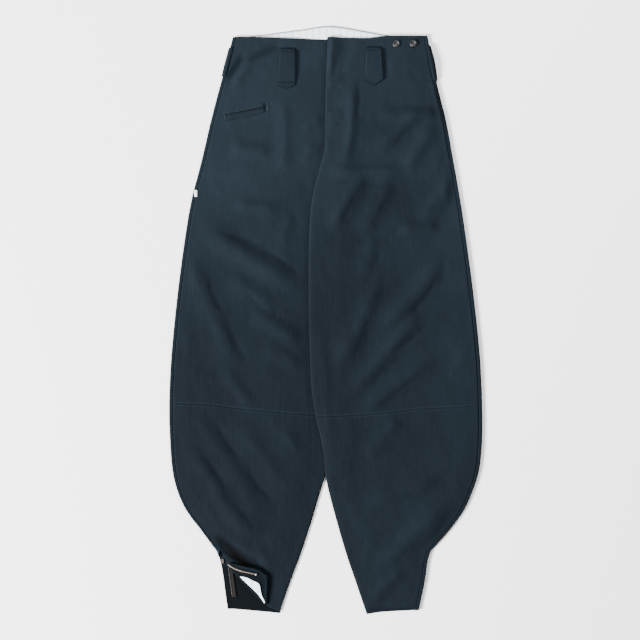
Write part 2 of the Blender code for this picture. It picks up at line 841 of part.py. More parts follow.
def make_back_zip():
    """Tape and slider of the zip on the back's side of the cuff."""
    rows = []
    for k in range(TAPE_STEPS + 1):
        y = mix(BACK_ZIP[0][0], BACK_ZIP[-1][0], k / TAPE_STEPS)
        start = curve(BACK_ZIP, y) - BACK_TAPE / 2
        rows.append([(start + BACK_TAPE * share, y, FRONT_UNDER + THIN) for share in STRIP])
    sheet("zip_tape_back", rows, THIN, "tape", (0, 0, 1))

    bpy.ops.mesh.primitive_cube_add(size=MM)
    slider = bpy.context.object
    slider.name = "zip_slider"
    for vertex in slider.data.vertices:
        vertex.co = Vector(a * b for a, b in zip(vertex.co, SLIDER))
    slider.location = Vector((*SLIDER_AT, FRONT_UNDER + SLIDER[2] / 2)) * MM
    for home in slider.users_collection:
        home.objects.unlink(slider)
    garment.objects.link(slider)
    slider.data.materials.append(material("brass"))
    edge = slider.modifiers.new("edges", "BEVEL")
    edge.width = SLIDER_EDGE * MM
    edge.segments = 2


def make_button(name, place, tree):
    """Ring button at the waist."""
    x, y = place
    around = [math.tau * k / PROBES for k in range(PROBES)]
    ring = [(x + BUTTON_RIM * math.cos(a), y + BUTTON_RIM * math.sin(a)) for a in around]
    under = max(lay_on([tree], *spot) for spot in ring)
    under = max(under, lay_on([tree], x, y))
    data = bpy.data.meshes.new(name)
    points = [(radius * MM, 0, up * MM) for radius, up in BUTTON_PROFILE]
    data.from_pydata(points, [(k, k + 1) for k in range(len(points) - 1)], [])
    made = add(name, data, "gunmetal")
    made.location = Vector((x, y, under + GAP)) * MM
    turn = made.modifiers.new("turn", "SCREW")
    turn.steps = turn.render_steps = BUTTON_STEPS
    turn.use_merge_vertices = True
    turn.merge_threshold = 0.00001
    turn.use_smooth_shade = True


for leftover in list(bpy.data.objects):
    bpy.data.objects.remove(leftover)
garment = bpy.data.collections.new("tobi_work_trousers")
bpy.context.scene.collection.children.link(garment)

back_right, back_left = make_backs()
fronts = make_fronts()
make_waist_lining()
right_thigh_tree = tree_of(fronts["front_right_thigh"])
left_thigh_tree = tree_of(fronts["front_left_thigh"])
back_right_tree = tree_of(back_right)
make_front_loop("front_right_belt_loop", RIGHT_LOOP, [right_thigh_tree])
make_front_loop("front_left_belt_loop", LEFT_LOOP, [left_thigh_tree])
make_side_loop("side_right_belt_loop", right_side, -1, SIDE_RIGHT_LOOP)
make_side_loop("side_left_belt_loop", left_side, 1, SIDE_LEFT_LOOP)
for button, spot in BUTTONS.items():
    make_button(button, spot, left_thigh_tree)
make_welt(right_thigh_tree)
make_label([right_thigh_tree, back_right_tree])
make_turned_corner()
make_back_zip()
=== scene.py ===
import math

import bmesh
import bpy
import numpy as np
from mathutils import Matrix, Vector


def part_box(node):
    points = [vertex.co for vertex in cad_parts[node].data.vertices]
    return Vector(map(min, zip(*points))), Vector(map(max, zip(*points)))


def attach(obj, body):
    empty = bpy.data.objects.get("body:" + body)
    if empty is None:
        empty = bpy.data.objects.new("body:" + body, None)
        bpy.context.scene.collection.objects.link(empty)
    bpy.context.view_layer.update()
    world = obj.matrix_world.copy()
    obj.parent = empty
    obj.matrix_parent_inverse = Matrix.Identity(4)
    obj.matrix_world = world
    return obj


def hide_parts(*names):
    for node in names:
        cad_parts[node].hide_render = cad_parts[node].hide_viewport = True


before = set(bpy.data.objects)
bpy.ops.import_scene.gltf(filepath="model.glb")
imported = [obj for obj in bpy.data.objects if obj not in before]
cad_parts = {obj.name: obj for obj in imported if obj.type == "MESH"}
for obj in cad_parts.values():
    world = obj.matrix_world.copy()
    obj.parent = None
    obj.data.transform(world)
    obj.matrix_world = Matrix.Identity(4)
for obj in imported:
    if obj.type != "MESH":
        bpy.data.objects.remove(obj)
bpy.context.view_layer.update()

MM = 0.001

# Backs.
# Each leg's back is one length of dark twill. It lies flat on the surface and wraps round the side
# fold, where a narrow strip of it meets the front at the side seam. Below the knee the left leg
# lies over the right one, and at the right cuff the fold is open, with its zip undone.

CLOTH = 1.2
SHELL = 0.9
GAP = 0.3
FRONT_UNDER = CLOTH + GAP
LEG_ON_LEG = 2 * CLOTH + 2 * GAP + 0.2
SIDE_BEND = 2.25
SIDE_SEAM_INSET = 6.5
SIDE_SEAM_GAP = 0.2
KNEE = -165
CUFF_TOP = -422
WRAP_END = -424
ZIP_TOP = -437
CROTCH_SEWN = 361
CROTCH_CROSSED = 313
SPLIT_CLEAR = -300
SPLIT_FLAT = -350
RAMP = 48

UP = np.array((0, 0, 1.0))


def curve(*rows):
    """Smooth curve through its rows, as a function of the first column."""
    keys, values = np.array(sorted(rows), float).T
    slopes = np.gradient(values, keys)
    slopes[1:-1] = (values[2:] - values[:-2]) / (keys[2:] - keys[:-2])

    def read(at):
        at = np.clip(np.asarray(at, float), keys[0], keys[-1])
        k = np.clip(np.searchsorted(keys, at) - 1, 0, len(keys) - 2)
        span = keys[k + 1] - keys[k]
        t = (at - keys[k]) / span
        bend = span * t * (1 - t) * ((1 - t) * slopes[k] - t * slopes[k + 1])
        return values[k] + (values[k + 1] - values[k]) * t * t * (3 - 2 * t) + bend

    return read


def ramp(share):
    """A straight step from 0 to 1."""
    return np.clip(share, 0.0, 1.0)


def smooth(share):
    """A soft step from 0 to 1."""
    share = ramp(share)
    return share * share * (3 - 2 * share)


# Outer edge of each leg down to its cuff: height, x.
right_leg_side = curve(
    (520, -171), (442, -191.5), (368, -211), (295, -228), (221, -247), (148, -259.5),
    (37, -274), (-73, -284.5), (-156, -288), (-220, -286.5), (-276, -282), (-312, -273.5),
    (-349, -257), (-386, -229.5), (-423, -202),
)
left_leg_side = curve(
    (523, 187), (442, 203), (368, 221), (295, 234.5), (221, 247.5), (148, 258.5),
    (37, 273), (-73, 284), (-175, 288), (-230, 287), (-276, 282), (-312, 271),
    (-349, 254), (-386, 227), (-423, 194),
)
right_cuff_side = curve((-422, -202), (-441, -194.5), (-469, -189), (-496, -185.5), (-531, -180.5))
left_cuff_side = curve((-422, 194), (-441, 188), (-478, 182.5), (-533, 171))
# Inner edge of the left leg, from the fly to the hem: height, x.
left_inner = curve(
    (521, 3), (424, -0.5), (332, -1.5), (313, -3), (286, -9.5), (247, -20), (216, -26),
    (170, -30), (110, -31.5), (20, -31.5), (-36, -30), (-116, -27), (-178, -18.5),
    (-220, -8.5), (-255, -2.7), (-287, -0.2), (-331, 9.5), (-423, 35.5), (-478, 54), (-541, 75.5),
)
# Inner edge of the right leg, under the left one down to the split: height, x.
right_inner = curve(
    (540, 0.5), (313, 0.5), (286, 3), (221, 15), (92, 24.5), (-55, 26), (-147, 22.5),
    (-202, 15), (-248, 7), (-287, -1.4), (-331, -14.5), (-368, -25.5), (-423, -43.5),
    (-478, -64), (-515, -77), (-539, -85),
)
# Where the left leg starts to come down from the right one: height, x.
step_line = curve(
    (523, 24), (221, 24), (92, 26.5), (-55, 28), (-147, 24.5), (-202, 18), (-250, 11),
    (-287, 9), (-342, 23), (-423, 46), (-541, 86),
)
# Edges across the garment: x, height.
waist_back = curve((-171, 520.4), (-147, 521), (-47, 534), (8, 540.8), (74, 531), (120, 523.5), (187, 523))
knee_right = curve((-282, -152.5), (-211, -156), (-165, -161.5), (-88, -169), (25, -178))
knee_left = curve((-20, -178), (81, -172.5), (166, -163.5), (242, -159.5), (282, -156))
hem_right = curve((-181, -530), (-97, -537.5), (-85, -539))
hem_left = curve((75, -540.8), (105, -536.5), (171, -533))


def right_side(y):
    """Outline of the right leg."""
    return np.where(np.asarray(y) > CUFF_TOP, right_leg_side(y), right_cuff_side(y))


def left_side(y):
    """Outline of the left leg."""
    return np.where(np.asarray(y) > CUFF_TOP, left_leg_side(y), left_cuff_side(y))


def left_back_inner(y):
    """Inner edge of the left back: the centre seam, then the inside of the leg."""
    return np.where(np.asarray(y) >= CROTCH_CROSSED, right_inner(y) + GAP / 2, left_inner(y))


def leg_step(y):
    """Height of the left leg over the right leg, where they overlap."""
    up = ramp((CROTCH_SEWN - y) / (CROTCH_SEWN - CROTCH_CROSSED))
    down = ramp((y - SPLIT_FLAT) / (SPLIT_CLEAR - SPLIT_FLAT))
    return LEG_ON_LEG * np.minimum(up, down)


def past_step(x, y):
    """1 over the right leg, and 0 where the left leg has come down beside it."""
    return 1 - ramp((x - step_line(y)) / RAMP)


def between(first, last, share):
    """Value at a share of the way from the first to the last."""
    return first + (last - first) * share


def plan(top, bottom, outer, inner, down, across):
    """Plan points between four edges, in rows from the top and columns from the outer edge."""
    ends = []
    for edge in (top, bottom):
        first, last = edge(outer(KNEE)), edge(inner(KNEE))
        for _ in range(8):
            first, last = edge(outer(first)), edge(inner(last))
        ends.append(edge(between(outer(first), inner(last), across)))
    y = between(*ends, down[:, None])
    return between(outer(y[:, :1]), inner(y[:, -1:]), across), y


def shares(count):
    """Even shares from 0 to 1."""
    return np.linspace(0, 1, count)


def side_section(y, opens, steps, tail):
    """How far out and how high a back's side edge runs, round its fold and along its strip."""
    share = 1 - ramp((WRAP_END - y) / (WRAP_END - ZIP_TOP)) if opens else 1.0 + 0 * y
    angle = np.pi * np.maximum(share, 0.01)
    radius = np.pi * SIDE_BEND / angle
    turned = angle * shares(steps + 1)[1:]
    out, up = radius * np.sin(turned), radius * (1 - np.cos(turned))
    reach = (SIDE_SEAM_INSET - SIDE_BEND - SIDE_SEAM_GAP) * shares(tail + 1)[1:]
    out = np.hstack([out, out[:, -1:] + reach * np.cos(angle)])
    up = np.hstack([up, up[:, -1:] + reach * np.sin(angle)])
    return out, up


def hump(off, width):
    """1 in the middle, fading softly to both sides."""
    return np.exp(-((off / width) ** 2))


def grid(x, y, z):
    """Points from three grids, spread to one size."""
    return np.stack(np.broadcast_arrays(x, y, z), -1)


def new_mesh(name, points, faces):
    """Mesh of points in millimetres."""
    mesh = bpy.data.meshes.new(name)
    mesh.from_pydata((points.reshape(-1, 3) * MM).tolist(), [], faces)
    return mesh


def grid_mesh(name, points, outward, wear_and_painted_shading):
    """Mesh of a grid of points in millimetres, facing outward, with each point's wear, painted light and
    painted shade.
    """
    rows, columns = points.shape[:2]
    index = np.arange(rows * columns).reshape(rows, columns)
    faces = np.stack([index[:-1, :-1], index[:-1, 1:], index[1:, 1:], index[1:, :-1]], -1)
    a, b, d = points[0, 0], points[0, 1], points[1, 0]
    if np.dot(np.cross(b - a, d - a), outward) < 0:
        faces = faces[..., ::-1]
    mesh = new_mesh(name, points, faces.reshape(-1, 4).tolist())
    values = np.broadcast_to(wear_and_painted_shading, (rows, columns)).ravel()
    mesh.attributes.new("wear_and_painted_shading", "FLOAT", "POINT").data.foreach_set("value", values.astype(np.float32))
    mesh.shade_smooth()
    return mesh


def linked(name, data):
    """Object in the scene, from its mesh, light or camera."""
    made = bpy.data.objects.new(name, data)
    bpy.context.scene.collection.objects.link(made)
    return made


def dressed(made, finish, node=None):
    """The object in its finish, riding on the part, with the node that it stands for."""
    made.data.materials.append(finish)
    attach(made, "root")
    if node:
        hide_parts(node)
    return made


def cloth(name, points, wall, finish, wear_and_painted_shading=0.0, outward=UP):
    """A sheet of cloth that stands for one node, thickened inwards from its outer face."""
    made = linked(name + "_cloth", grid_mesh(name, points, outward, wear_and_painted_shading))
    shell = made.modifiers.new("wall", "SOLIDIFY")
    shell.thickness = wall * MM
    shell.offset = -1
    shell.use_even_offset = True
    dressed(made, finish, name)


def feed(socket, value):
    """Sets a socket's value, or links another socket to it."""
    if isinstance(value, bpy.types.NodeSocket):
        socket.id_data.links.new(value, socket)
    else:
        socket.default_value = value


def feed_all(node, values):
    """Feeds a node's inputs by name."""
    for key, value in values.items():
        feed(node.inputs[key], value)


def add_node(tree, kind, **values):
    """Node with its inputs fed by name and its properties set by lower-case name."""
    node = tree.nodes.new(kind)
    for key, value in values.items():
        if key in node.bl_rna.properties:
            setattr(node, key, value)
        else:
            feed(node.inputs[key], value)
    return node


def maths(tree, operation, first, second=0.0):
    """Math node fed by sockets or numbers."""
    node = add_node(tree, "ShaderNodeMath", operation=operation)
    feed(node.inputs[0], first)
    feed(node.inputs[1], second)
    return node.outputs[0]


def weighted(tree, start, *terms):
    """Sum of a start and of sockets times their weights."""
    for value, weight in terms:
        start = maths(tree, "ADD", start, maths(tree, "MULTIPLY", value, weight))
    return start


def blended(tree, factor, first, second):
    """Colour mixed from two sockets or colours by a factor."""
    node = add_node(tree, "ShaderNodeMix", data_type="RGBA")
    for place, value in ((0, factor), (6, first), (7, second)):
        feed(node.inputs[place], value)
    return node.outputs[2]


def stretched_noise(tree, coords, scale, detail=3.0):
    """Noise drawn out along the axes by its own scale on each."""
    stretched = add_node(tree, "ShaderNodeMapping", Vector=coords, Scale=scale).outputs[0]
    noise = add_node(
        tree, "ShaderNodeTexNoise", Vector=stretched, Scale=1.0, Detail=detail, Roughness=0.55,
    )
    return noise.outputs["Fac"]


def raised_normal(tree, height, strength, distance):
    """Normal raised by a height, in metres."""
    return add_node(
        tree, "ShaderNodeBump", Height=height, Strength=strength, Distance=distance,
    ).outputs[0]


def new_group(name, inputs, outputs):
    """Node group with named sockets: its tree, inputs, output node, coordinates and their parts."""
    tree = bpy.data.node_groups.new(name, "ShaderNodeTree")
    for way, sockets in (("INPUT", inputs), ("OUTPUT", outputs)):
        for label, start in sockets.items():
            kind = "NodeSocketColor" if start == "Color" else "NodeSocketFloat"
            socket = tree.interface.new_socket(name=label, in_out=way, socket_type=kind)
            if start != "Color":
                socket.default_value = start
    given, out = tree.nodes.new("NodeGroupInput").outputs, tree.nodes.new("NodeGroupOutput")
    coords = add_node(tree, "ShaderNodeTexCoord").outputs["Object"]
    place = add_node(tree, "ShaderNodeSeparateXYZ", Vector=coords).outputs
    return tree, given, out, coords, place


def new_material(name):
    """Material, its node tree and its shader."""
    made = bpy.data.materials.new(name)
    made.use_nodes = True
    return made, made.node_tree, made.node_tree.nodes["Principled BSDF"]


RIB_PITCH = 0.0011
RIB_LEAN = 0.28
PICK_PITCH = 0.0008
RIB_RISE = 0.36
PICK_RISE = 0.14
WEAVE_SHADE = 0.35
FUZZ_SHADE = 0.3
CLOUD_SHADE = 0.35
FUZZ_IN_RUB = 0.25
DEEPEST_SHADE = 0.9
BLACK = (0.0, 0.0, 0.0, 1)


def twill_weave_group():
    """Steep twill ribs, slubs along the warp and a soft cloudiness, in metres over the cloth, paled by wear
    and painted light and darkened by painted shade.
    """
    tree, given, out, coords, place = new_group("twill_weave", {
        "Thread": "Color", "Raised Thread": "Color", "Worn And Painted Light": "Color",
        "Rib Pitch": RIB_PITCH, "Slub": 0.5, "Wear And Painted Shading": 0.0,
    }, {"Colour": "Color", "Roughness": 0.0, "Height": 0.0})
    turns = maths(tree, "DIVIDE", weighted(tree, place[0], (place[1], RIB_LEAN)), given["Rib Pitch"])
    rib = maths(tree, "SINE", maths(tree, "MULTIPLY", turns, math.tau))
    pick = maths(tree, "SINE", maths(tree, "MULTIPLY", place[1], math.tau / PICK_PITCH))
    weave = weighted(tree, 0.5, (rib, RIB_RISE), (pick, PICK_RISE))
    slub = stretched_noise(tree, coords, (420, 24, 420))
    fuzz = stretched_noise(tree, coords, (1500, 1300, 1500), 2.0)
    cloud = stretched_noise(tree, coords, (14, 7, 14), 2.0)
    level = maths(tree, "MULTIPLY", maths(tree, "SUBTRACT", slub, 0.5), given["Slub"])
    level = weighted(tree, level, (weave, WEAVE_SHADE), (fuzz, FUZZ_SHADE), (cloud, CLOUD_SHADE))
    level = add_node(tree, "ShaderNodeClamp", Value=level).outputs[0]
    colour = blended(tree, level, given["Thread"], given["Raised Thread"])
    # Wear and painted light pale the cloth towards its paler colour.
    wear_and_painted_shading = maths(tree, "MULTIPLY", given["Wear And Painted Shading"], maths(tree, "ADD", fuzz, FUZZ_IN_RUB))
    colour = blended(tree, wear_and_painted_shading, colour, given["Worn And Painted Light"])
    # Painted shade: below nought the channel darkens faces turned up towards black.
    normal = add_node(tree, "ShaderNodeNewGeometry").outputs["Normal"]
    facing = add_node(tree, "ShaderNodeSeparateXYZ", Vector=normal).outputs[2]
    shade = maths(tree, "MULTIPLY", given["Wear And Painted Shading"], -DEEPEST_SHADE)
    shade = maths(tree, "MULTIPLY", shade, maths(tree, "GREATER_THAN", facing, 0.0))
    feed_all(out, {
        "Colour": blended(tree, shade, colour, BLACK),
        "Roughness": weighted(tree, 0.76, (fuzz, 0.14)),
        "Height": weighted(tree, weave, (fuzz, 0.8), (slub, 0.6)),
    })
    return tree


twill_weave = twill_weave_group()


def twill(name, thread, raised, worn_and_painted_light, slub):
    """Twill cloth: its thread colours, the colour that wear and painted light pale it towards, and how
    slubbed it is.
    """
    made, tree, shader = new_material(name)
    wear_and_painted_shading = add_node(tree, "ShaderNodeAttribute", attribute_name="wear_and_painted_shading").outputs["Fac"]
    weave = add_node(tree, "ShaderNodeGroup", node_tree=twill_weave)
    feed_all(weave, {
        "Thread": (*thread, 1), "Raised Thread": (*raised, 1), "Worn And Painted Light": (*worn_and_painted_light, 1),
        "Slub": slub, "Wear And Painted Shading": wear_and_painted_shading,
    })
    feed_all(shader, {
        "Base Color": weave.outputs["Colour"], "Roughness": weave.outputs["Roughness"],
        "Normal": raised_normal(tree, weave.outputs["Height"], 0.35, 0.0003),
        "Sheen Weight": 0.02, "Sheen Roughness": 0.45, "Specular IOR Level": 0.05,
    })
    return made


outside = twill(
    "trouser_twill", (0.0017, 0.0031, 0.0048), (0.0053, 0.0091, 0.0132), (0.0158, 0.0258, 0.0362), 0.8,
)


def back_points(side, sign, inner, knee, hem, opens):
    """Outer face of a back, from its inner edge across the flat part and up round the side fold."""
    flat, bends, strip = 22, 12, 4

    def flat_edge(y):
        y = np.asarray(y, float)
        out, _ = side_section(y.reshape(-1, 1), opens, bends, strip)
        return side(y) - sign * out.max(axis=1).reshape(y.shape)

    upper = plan(waist_back, knee, flat_edge, inner, shares(150), shares(flat + 1))
    lower = plan(knee, hem, flat_edge, inner, shares(110)[1:], shares(flat + 1))
    x, y = (np.vstack(pair)[:, ::-1] for pair in zip(upper, lower))
    z = leg_step(y) * past_step(x, y) if sign > 0 else 0 * x
    out, up = side_section(y[:, -1:], opens, bends, strip)
    y = np.hstack([y, y[:, -1:] + 0 * out])
    return grid(np.hstack([x, x[:, -1:] + sign * out]), y, np.hstack([z, up]))


# Painted light: the cloth is painted a little paler towards the waist, standing in for brighter light
# there.
PALER = 0.17
PALE_FROM = -140
PALE_RUN = 440
# Painted light at the strip's end by the open zip, lifting the shade there: how far over the zip's top,
# half length, how much paler.
STRIP_END_LIGHT = (6, 12, 0.8)
# Below this height the back's inside shows, with painted shade on it: height, run, how dark.
INSIDE_SHADE = (-440, 20, 0.75)
# Painted shade in the left pocket's mouth, which stands open beside the strip: height, how dark.
MOUTH_SHADE_WIDTH = 1.8
open_mouth_shade = curve(
    (523, 0.0), (446, 0.0), (430, 0.7), (375, 0.8), (300, 0.7), (270, 0.3), (240, 0.0), (-541, 0.0),
)
# Above this height the mouth's painted shade covers the whole strip: height, run.
WIDE_MOUTH_SHADE = (345, 30)


def paler(y):
    """How much painted light pales the cloth at a height."""
    return PALER * smooth((y - PALE_FROM) / PALE_RUN)


right_back = back_points(right_side, -1, lambda y: right_inner(y) - GAP / 2, knee_right, hem_right, True)
y = right_back[..., 1]
strip_end_light = STRIP_END_LIGHT[2] * hump(y - ZIP_TOP - STRIP_END_LIGHT[0], STRIP_END_LIGHT[1])
shown_inside_shade = INSIDE_SHADE[2] * smooth((INSIDE_SHADE[0] - y) / INSIDE_SHADE[1])
# Painted light towards the waist and at the strip's end, and painted shade where the back's inside shows.
cloth(
    "back_right", right_back, SHELL, outside,
    paler(y) + strip_end_light - shown_inside_shade, -UP,
)
left_back = back_points(left_side, 1, left_back_inner, knee_left, hem_left, False)
y = left_back[..., 1]
# Painted shade in the open pocket mouth beside the strip.
mouth = hump(left_back[..., 0] - left_side(y) + SIDE_SEAM_INSET, MOUTH_SHADE_WIDTH)
mouth = open_mouth_shade(y) * (mouth + (1 - mouth) * smooth((y - WIDE_MOUTH_SHADE[0]) / WIDE_MOUTH_SHADE[1]))
cloth(
    "back_left", left_back, SHELL, outside, paler(y) - mouth, -UP,
)

# Fronts.
# Two fronts to each leg, joined by a seam across the knee. They stand a few millimetres off the
# backs and carry the creases of folded cloth. The left front laps over the right one at the fly.

FRONT_ON_FRONT = CLOTH + 0.5
LEG_CLEARANCE = 0.2
BODY_LOFT = 3.0
SIDE_LOFT = 1.8
WAIST_LIFT = 1.4
HEM_SHARE = 0.4
LEAST_LOFT = 0.1
UNDERLAP = 22
UNDERLAP_END = 372
UNDER_LEFT_LEG = 2.5
HEM_RUN = 70
SIDE_RUN = 30
# How the fronts rise from their inner edge: share of the rise, over which distance.
INNER_RISE = ((0.8, 60), (0.2, 8))
# The waist band keeps its lift this far down and loses it over the run.
WAIST_BAND = (16, 30)
# How far from the inner edge and from the side the folds fade.
FOLDS_FADE = (10, 22)
FOLD_ENDS = 0.3
WANDER = 0.34
RIPPLE = 0.13
# How far the side seam draws in beside the open zip, and over which run.
SEAM_AT_ZIP = (4.0, 20)
EDGE_ROLL = 0.4
# Puckers of the sewn edges: pitch, depth.
SEAM_PUCKERS = (11, 0.16)
KNEE_PUCKERS = (9, 0.12)
SPLIT_PUCKERS = (15, 0.3)
PUCKER_RUN = 4.5
# The knee seam: how far its edges roll down and its groove sinks, over which distance.
KNEE_ROLL = (0.02, 1.6)
KNEE_GROOVE = (0.04, 3.5)
# Rubbed edges: how pale, over which distance.
EDGE_RUB = (0.05, 1.8)
KNEE_RUB = (0.1, 2.2)
INNER_RUB = (0.06, 5)
UNDER_EDGE_SHADE_RUN = 2.2
OPEN_EDGE_END = -520
KNEE_GAP = 0.06
waist_right = curve((-171, 520.4), (-147, 521), (-60, 518), (2, 515.4), (25, 514))
waist_left = curve((0, 521), (40, 519), (75, 518.6), (95, 520.6), (110, 522.6), (187, 523))
front_hem_right = curve((-107, -526), (-85, -536))
front_hem_left = curve((74, -533), (90, -531), (171, -527.5))
FOLD_TOP = (-183.5, -445)
FOLD_END = (-106.5, -526)

# Folds: start x, start height, end x, end height, bow, half width, rise.
RIGHT_FOLDS = (
    (-234, 172, -36, 58, -2, 20, 6.8),
    (-196, 178, -70, 98, 0, 12, -1.2),
    (-180, 84, -84, 24, -3, 15, 3.2),
    (-142, 14, -40, -44, 3, 15, 3.8),
    (-120, -50, -38, -86, 0, 13, 2.6),
    (-262, 132, -162, -100, 5, 18, 4.2),
    (-194, -76, -128, -164, -4, 12, 2.4),
    (-256, -146, -100, -372, -3, 16, 2.1),
    (-214, -170, -94, -342, 0, 11, -0.8),
    (-176, -168, -66, -318, 0, 14, 1.9),
    (-116, -166, -46, -246, 3, 12, 1.4),
    (-254, -226, -180, -336, 0, 12, 1.6),
    (-224, -302, -116, -408, 0, 17, 2.6),
    (-214, -400, -106, -462, 0, 12, -4.0),
    (-190, 426, -144, 496, 0, 9, -3.2),
    (-158, 470, -74, 514, 0, 8, -3.0),
    (-178, 420, -128, 494, 0, 10, 2.0),
    (-78, 416, -76, 262, 0, 12, 2.8),
    (-182, 314, -96, 308, 2, 12, 3.6),
    (-176, 208, -80, 204, 2, 13, 3.8),
    (-62, 204, -82, 132, 0, 11, 2.0),
    (-44, 352, -2, 372, 0, 10, 1.8),
    (-52, 292, -10, 322, 0, 9, 1.6),
)
LEFT_FOLDS = (
    (20, 538, -8, 440, 0, 13, 4.4),
    (50, 524, 10, 430, 0, 10, -2.4),
    (34, 456, -2, 432, 0, 7, 1.6),
    (34, 374, 2, 368, 0, 6, 1.2),
    (46, 452, 30, 268, 9, 10, 3.6),
    (88, 372, 218, 382, 2, 12, 5.4),
    (184, 394, 88, 308, 0, 13, 4.6),
    (200, 362, 142, 268, 0, 14, 4.4),
    (152, 276, 0, 272, 0, 11, 4.0),
    (128, 272, 62, 146, -3, 15, 5.0),
    (78, 274, 4, 156, -3, 14, 4.2),
    (248, 284, 162, 174, 8, 14, 5.0),
    (128, 166, 214, 174, 0, 12, 4.4),
    (88, 162, 68, 76, 0, 14, 2.8),
    (100, 98, 14, -98, 8, 17, 5.0),
    (222, 124, 88, -16, 12, 17, 7.2),
    (228, 8, 140, -20, 0, 11, 2.0),
    (180, 20, 40, -144, 0, 15, 6.0),
    (204, -68, 46, -178, 0, 15, 6.0),
    (-12, 10, 10, -270, 0, 12, 1.8),
    (142, -170, 70, -258, 0, 15, 2.6),
    (222, -290, 64, -342, 0, 14, 4.8),
    (236, -332, 84, -462, 0, 19, 5.2),
    (150, -452, 76, -520, 0, 12, 3.0),
)
# Finer creases of the same kind.
RIGHT_CREASES = (
    (-208, 166, -118, 134, 4, 6, -1.0),
    (-120, 134, -40, 76, 4, 5, -0.9),
    (-150, 60, -96, 6, -3, 6, -0.8),
    (-216, 84, -186, 14, -5, 6, -0.9),
    (-186, 14, -132, -92, -6, 7, -0.9),
    (-226, 62, -216, -60, -4, 10, 0.8),
    (-112, -34, -60, -70, 0, 6, 0.7),
    (-92, 24, -44, -4, 0, 7, 0.7),
    (-202, -184, -152, -262, -4, 5, -0.8),
    (-150, -266, -88, -340, -3, 5, -0.7),
    (-232, -240, -178, -318, 4, 6, -0.8),
    (-172, -330, -128, -388, 3, 6, -0.7),
    (-78, -196, -52, -240, 0, 7, 0.8),
    (-178, 448, -112, 494, 2, 5, -0.7),
    (-132, 466, -98, 446, 0, 8, 0.6),
    (-84, 392, -82, 300, 2, 5, -0.6),
    (-36, 340, -30, 250, 3, 8, 0.6),
    (-170, 300, -128, 286, 0, 8, -0.6),
    (-176, 204, -112, 190, 2, 8, -0.5),
    (-58, 262, -42, 186, 2, 9, 0.6),
    (-196, 402, -142, 414, 0, 8, 0.5),
    (-204, -428, -122, -468, 0, 8, 1.6),
    (-206, -402, -112, -456, 0, 8, -1.2),
    (-236, -96, -170, -120, 0, 9, 0.6),
    (-132, -408, -98, -452, 0, 8, 0.7),
    (-226, -330, -196, -372, 0, 7, 0.6),
)
LEFT_CREASES = (
    (30, 446, 8, 430, 0, 5, 0.9),
    (28, 432, 10, 426, 0, 4, -1.2),
    (30, 396, 6, 388, 0, 4, -1.2),
    (28, 386, 4, 378, 0, 4, 1.2),
    (24, 362, 4, 352, 0, 4, 1.1),
    (60, 440, 52, 360, 5, 5, -0.9),
    (140, 386, 192, 390, 4, 8, -0.8),
    (138, 374, 190, 374, 4, 8, 0.7),
    (172, 356, 124, 318, -4, 5, -0.8),
    (206, 296, 150, 268, 6, 6, -0.9),
    (140, 252, 76, 254, 4, 6, -0.8),
    (222, 238, 188, 188, 0, 6, -0.8),
    (156, 184, 202, 190, 0, 8, -0.8),
    (64, 246, 24, 176, 2, 6, -0.8),
    (102, 246, 78, 172, -2, 6, -0.7),
    (104, 136, 76, 40, -4, 9, -0.9),
    (76, 40, 42, -52, -4, 9, -0.8),
    (208, 84, 150, 8, 6, 6, -1.1),
    (150, 8, 92, -48, 4, 6, -0.9),
    (196, 2, 116, -64, 4, 6, -1.0),
    (190, -22, 96, -88, 3, 5, 0.7),
    (184, -92, 104, -154, 0, 6, -0.7),
    (230, 124, 214, 40, 3, 8, 0.7),
    (258, -60, 224, -112, 0, 9, 0.6),
    (122, -186, 92, -214, 0, 6, -0.5),
    (186, -284, 120, -322, 0, 7, -0.8),
    (256, -338, 196, -404, 4, 7, -0.8),
    (196, -404, 120, -448, 0, 7, -0.6),
    (86, -396, 70, -448, 0, 8, 0.6),
    (96, 480, 140, 470, 0, 9, 0.6),
    (120, 440, 160, 452, 0, 8, 0.6),
)

# Painted shade along deep hollows, above the turned cuff and by the hip, which hold the light back.
HOLLOW_SHADE = (
    (-206, -388, -132, -462, -2, 8, 0.75),
    (-190, -426, -112, -460, 0, 7, 0.5),
    (-190, 436, -146, 492, 0, 6, 0.34),
    (-140, 478, -80, 508, 0, 6, 0.26),
)
# Soft patches of painted light and painted shade: x, height, half breadth, half length, how pale.
LIGHT_AND_SHADE_PATCHES = (
    (-150, 410, 80, 90, 0.12),
    (-40, 480, 50, 35, 0.13),
    (95, 480, 28, 28, 0.10),
    (110, 225, 60, 34, -0.20),
    (-5, -30, 32, 170, -0.26),
    (258, -90, 44, 170, 0.15),
    (150, -90, 50, 60, 0.06),
    (-180, 262, 60, 42, 0.13),
    (235, 190, 28, 70, 0.10),
    (-240, -180, 50, 170, -0.16),
    (-130, -340, 70, 80, -0.12),
    (-45, 320, 45, 80, 0.08),
    (-185, -300, 40, 60, -0.09),
    (-140, -430, 40, 36, -0.12),
    (45, 150, 44, 50, -0.12),
    (98, 60, 40, 46, -0.12),
    (112, 356, 36, 46, -0.13),
    (166, 178, 34, 34, -0.12),
    (228, 84, 26, 36, 0.09),
    (178, -350, 50, 60, 0.07),
    (140, -450, 40, 60, 0.08),
)
# How dark the painted shade on the right front is beside the left one's edge: height, share.
under_edge_shade = curve(
    (520, 0.5), (430, 0.6), (330, 0.55), (290, 0.35), (200, 0.3), (150, 0.55), (100, 0.35), (50, 0.6),
    (-60, 0.4), (-180, 0.3), (-275, 0.3), (-300, 0.0), (-540, 0.0),
)


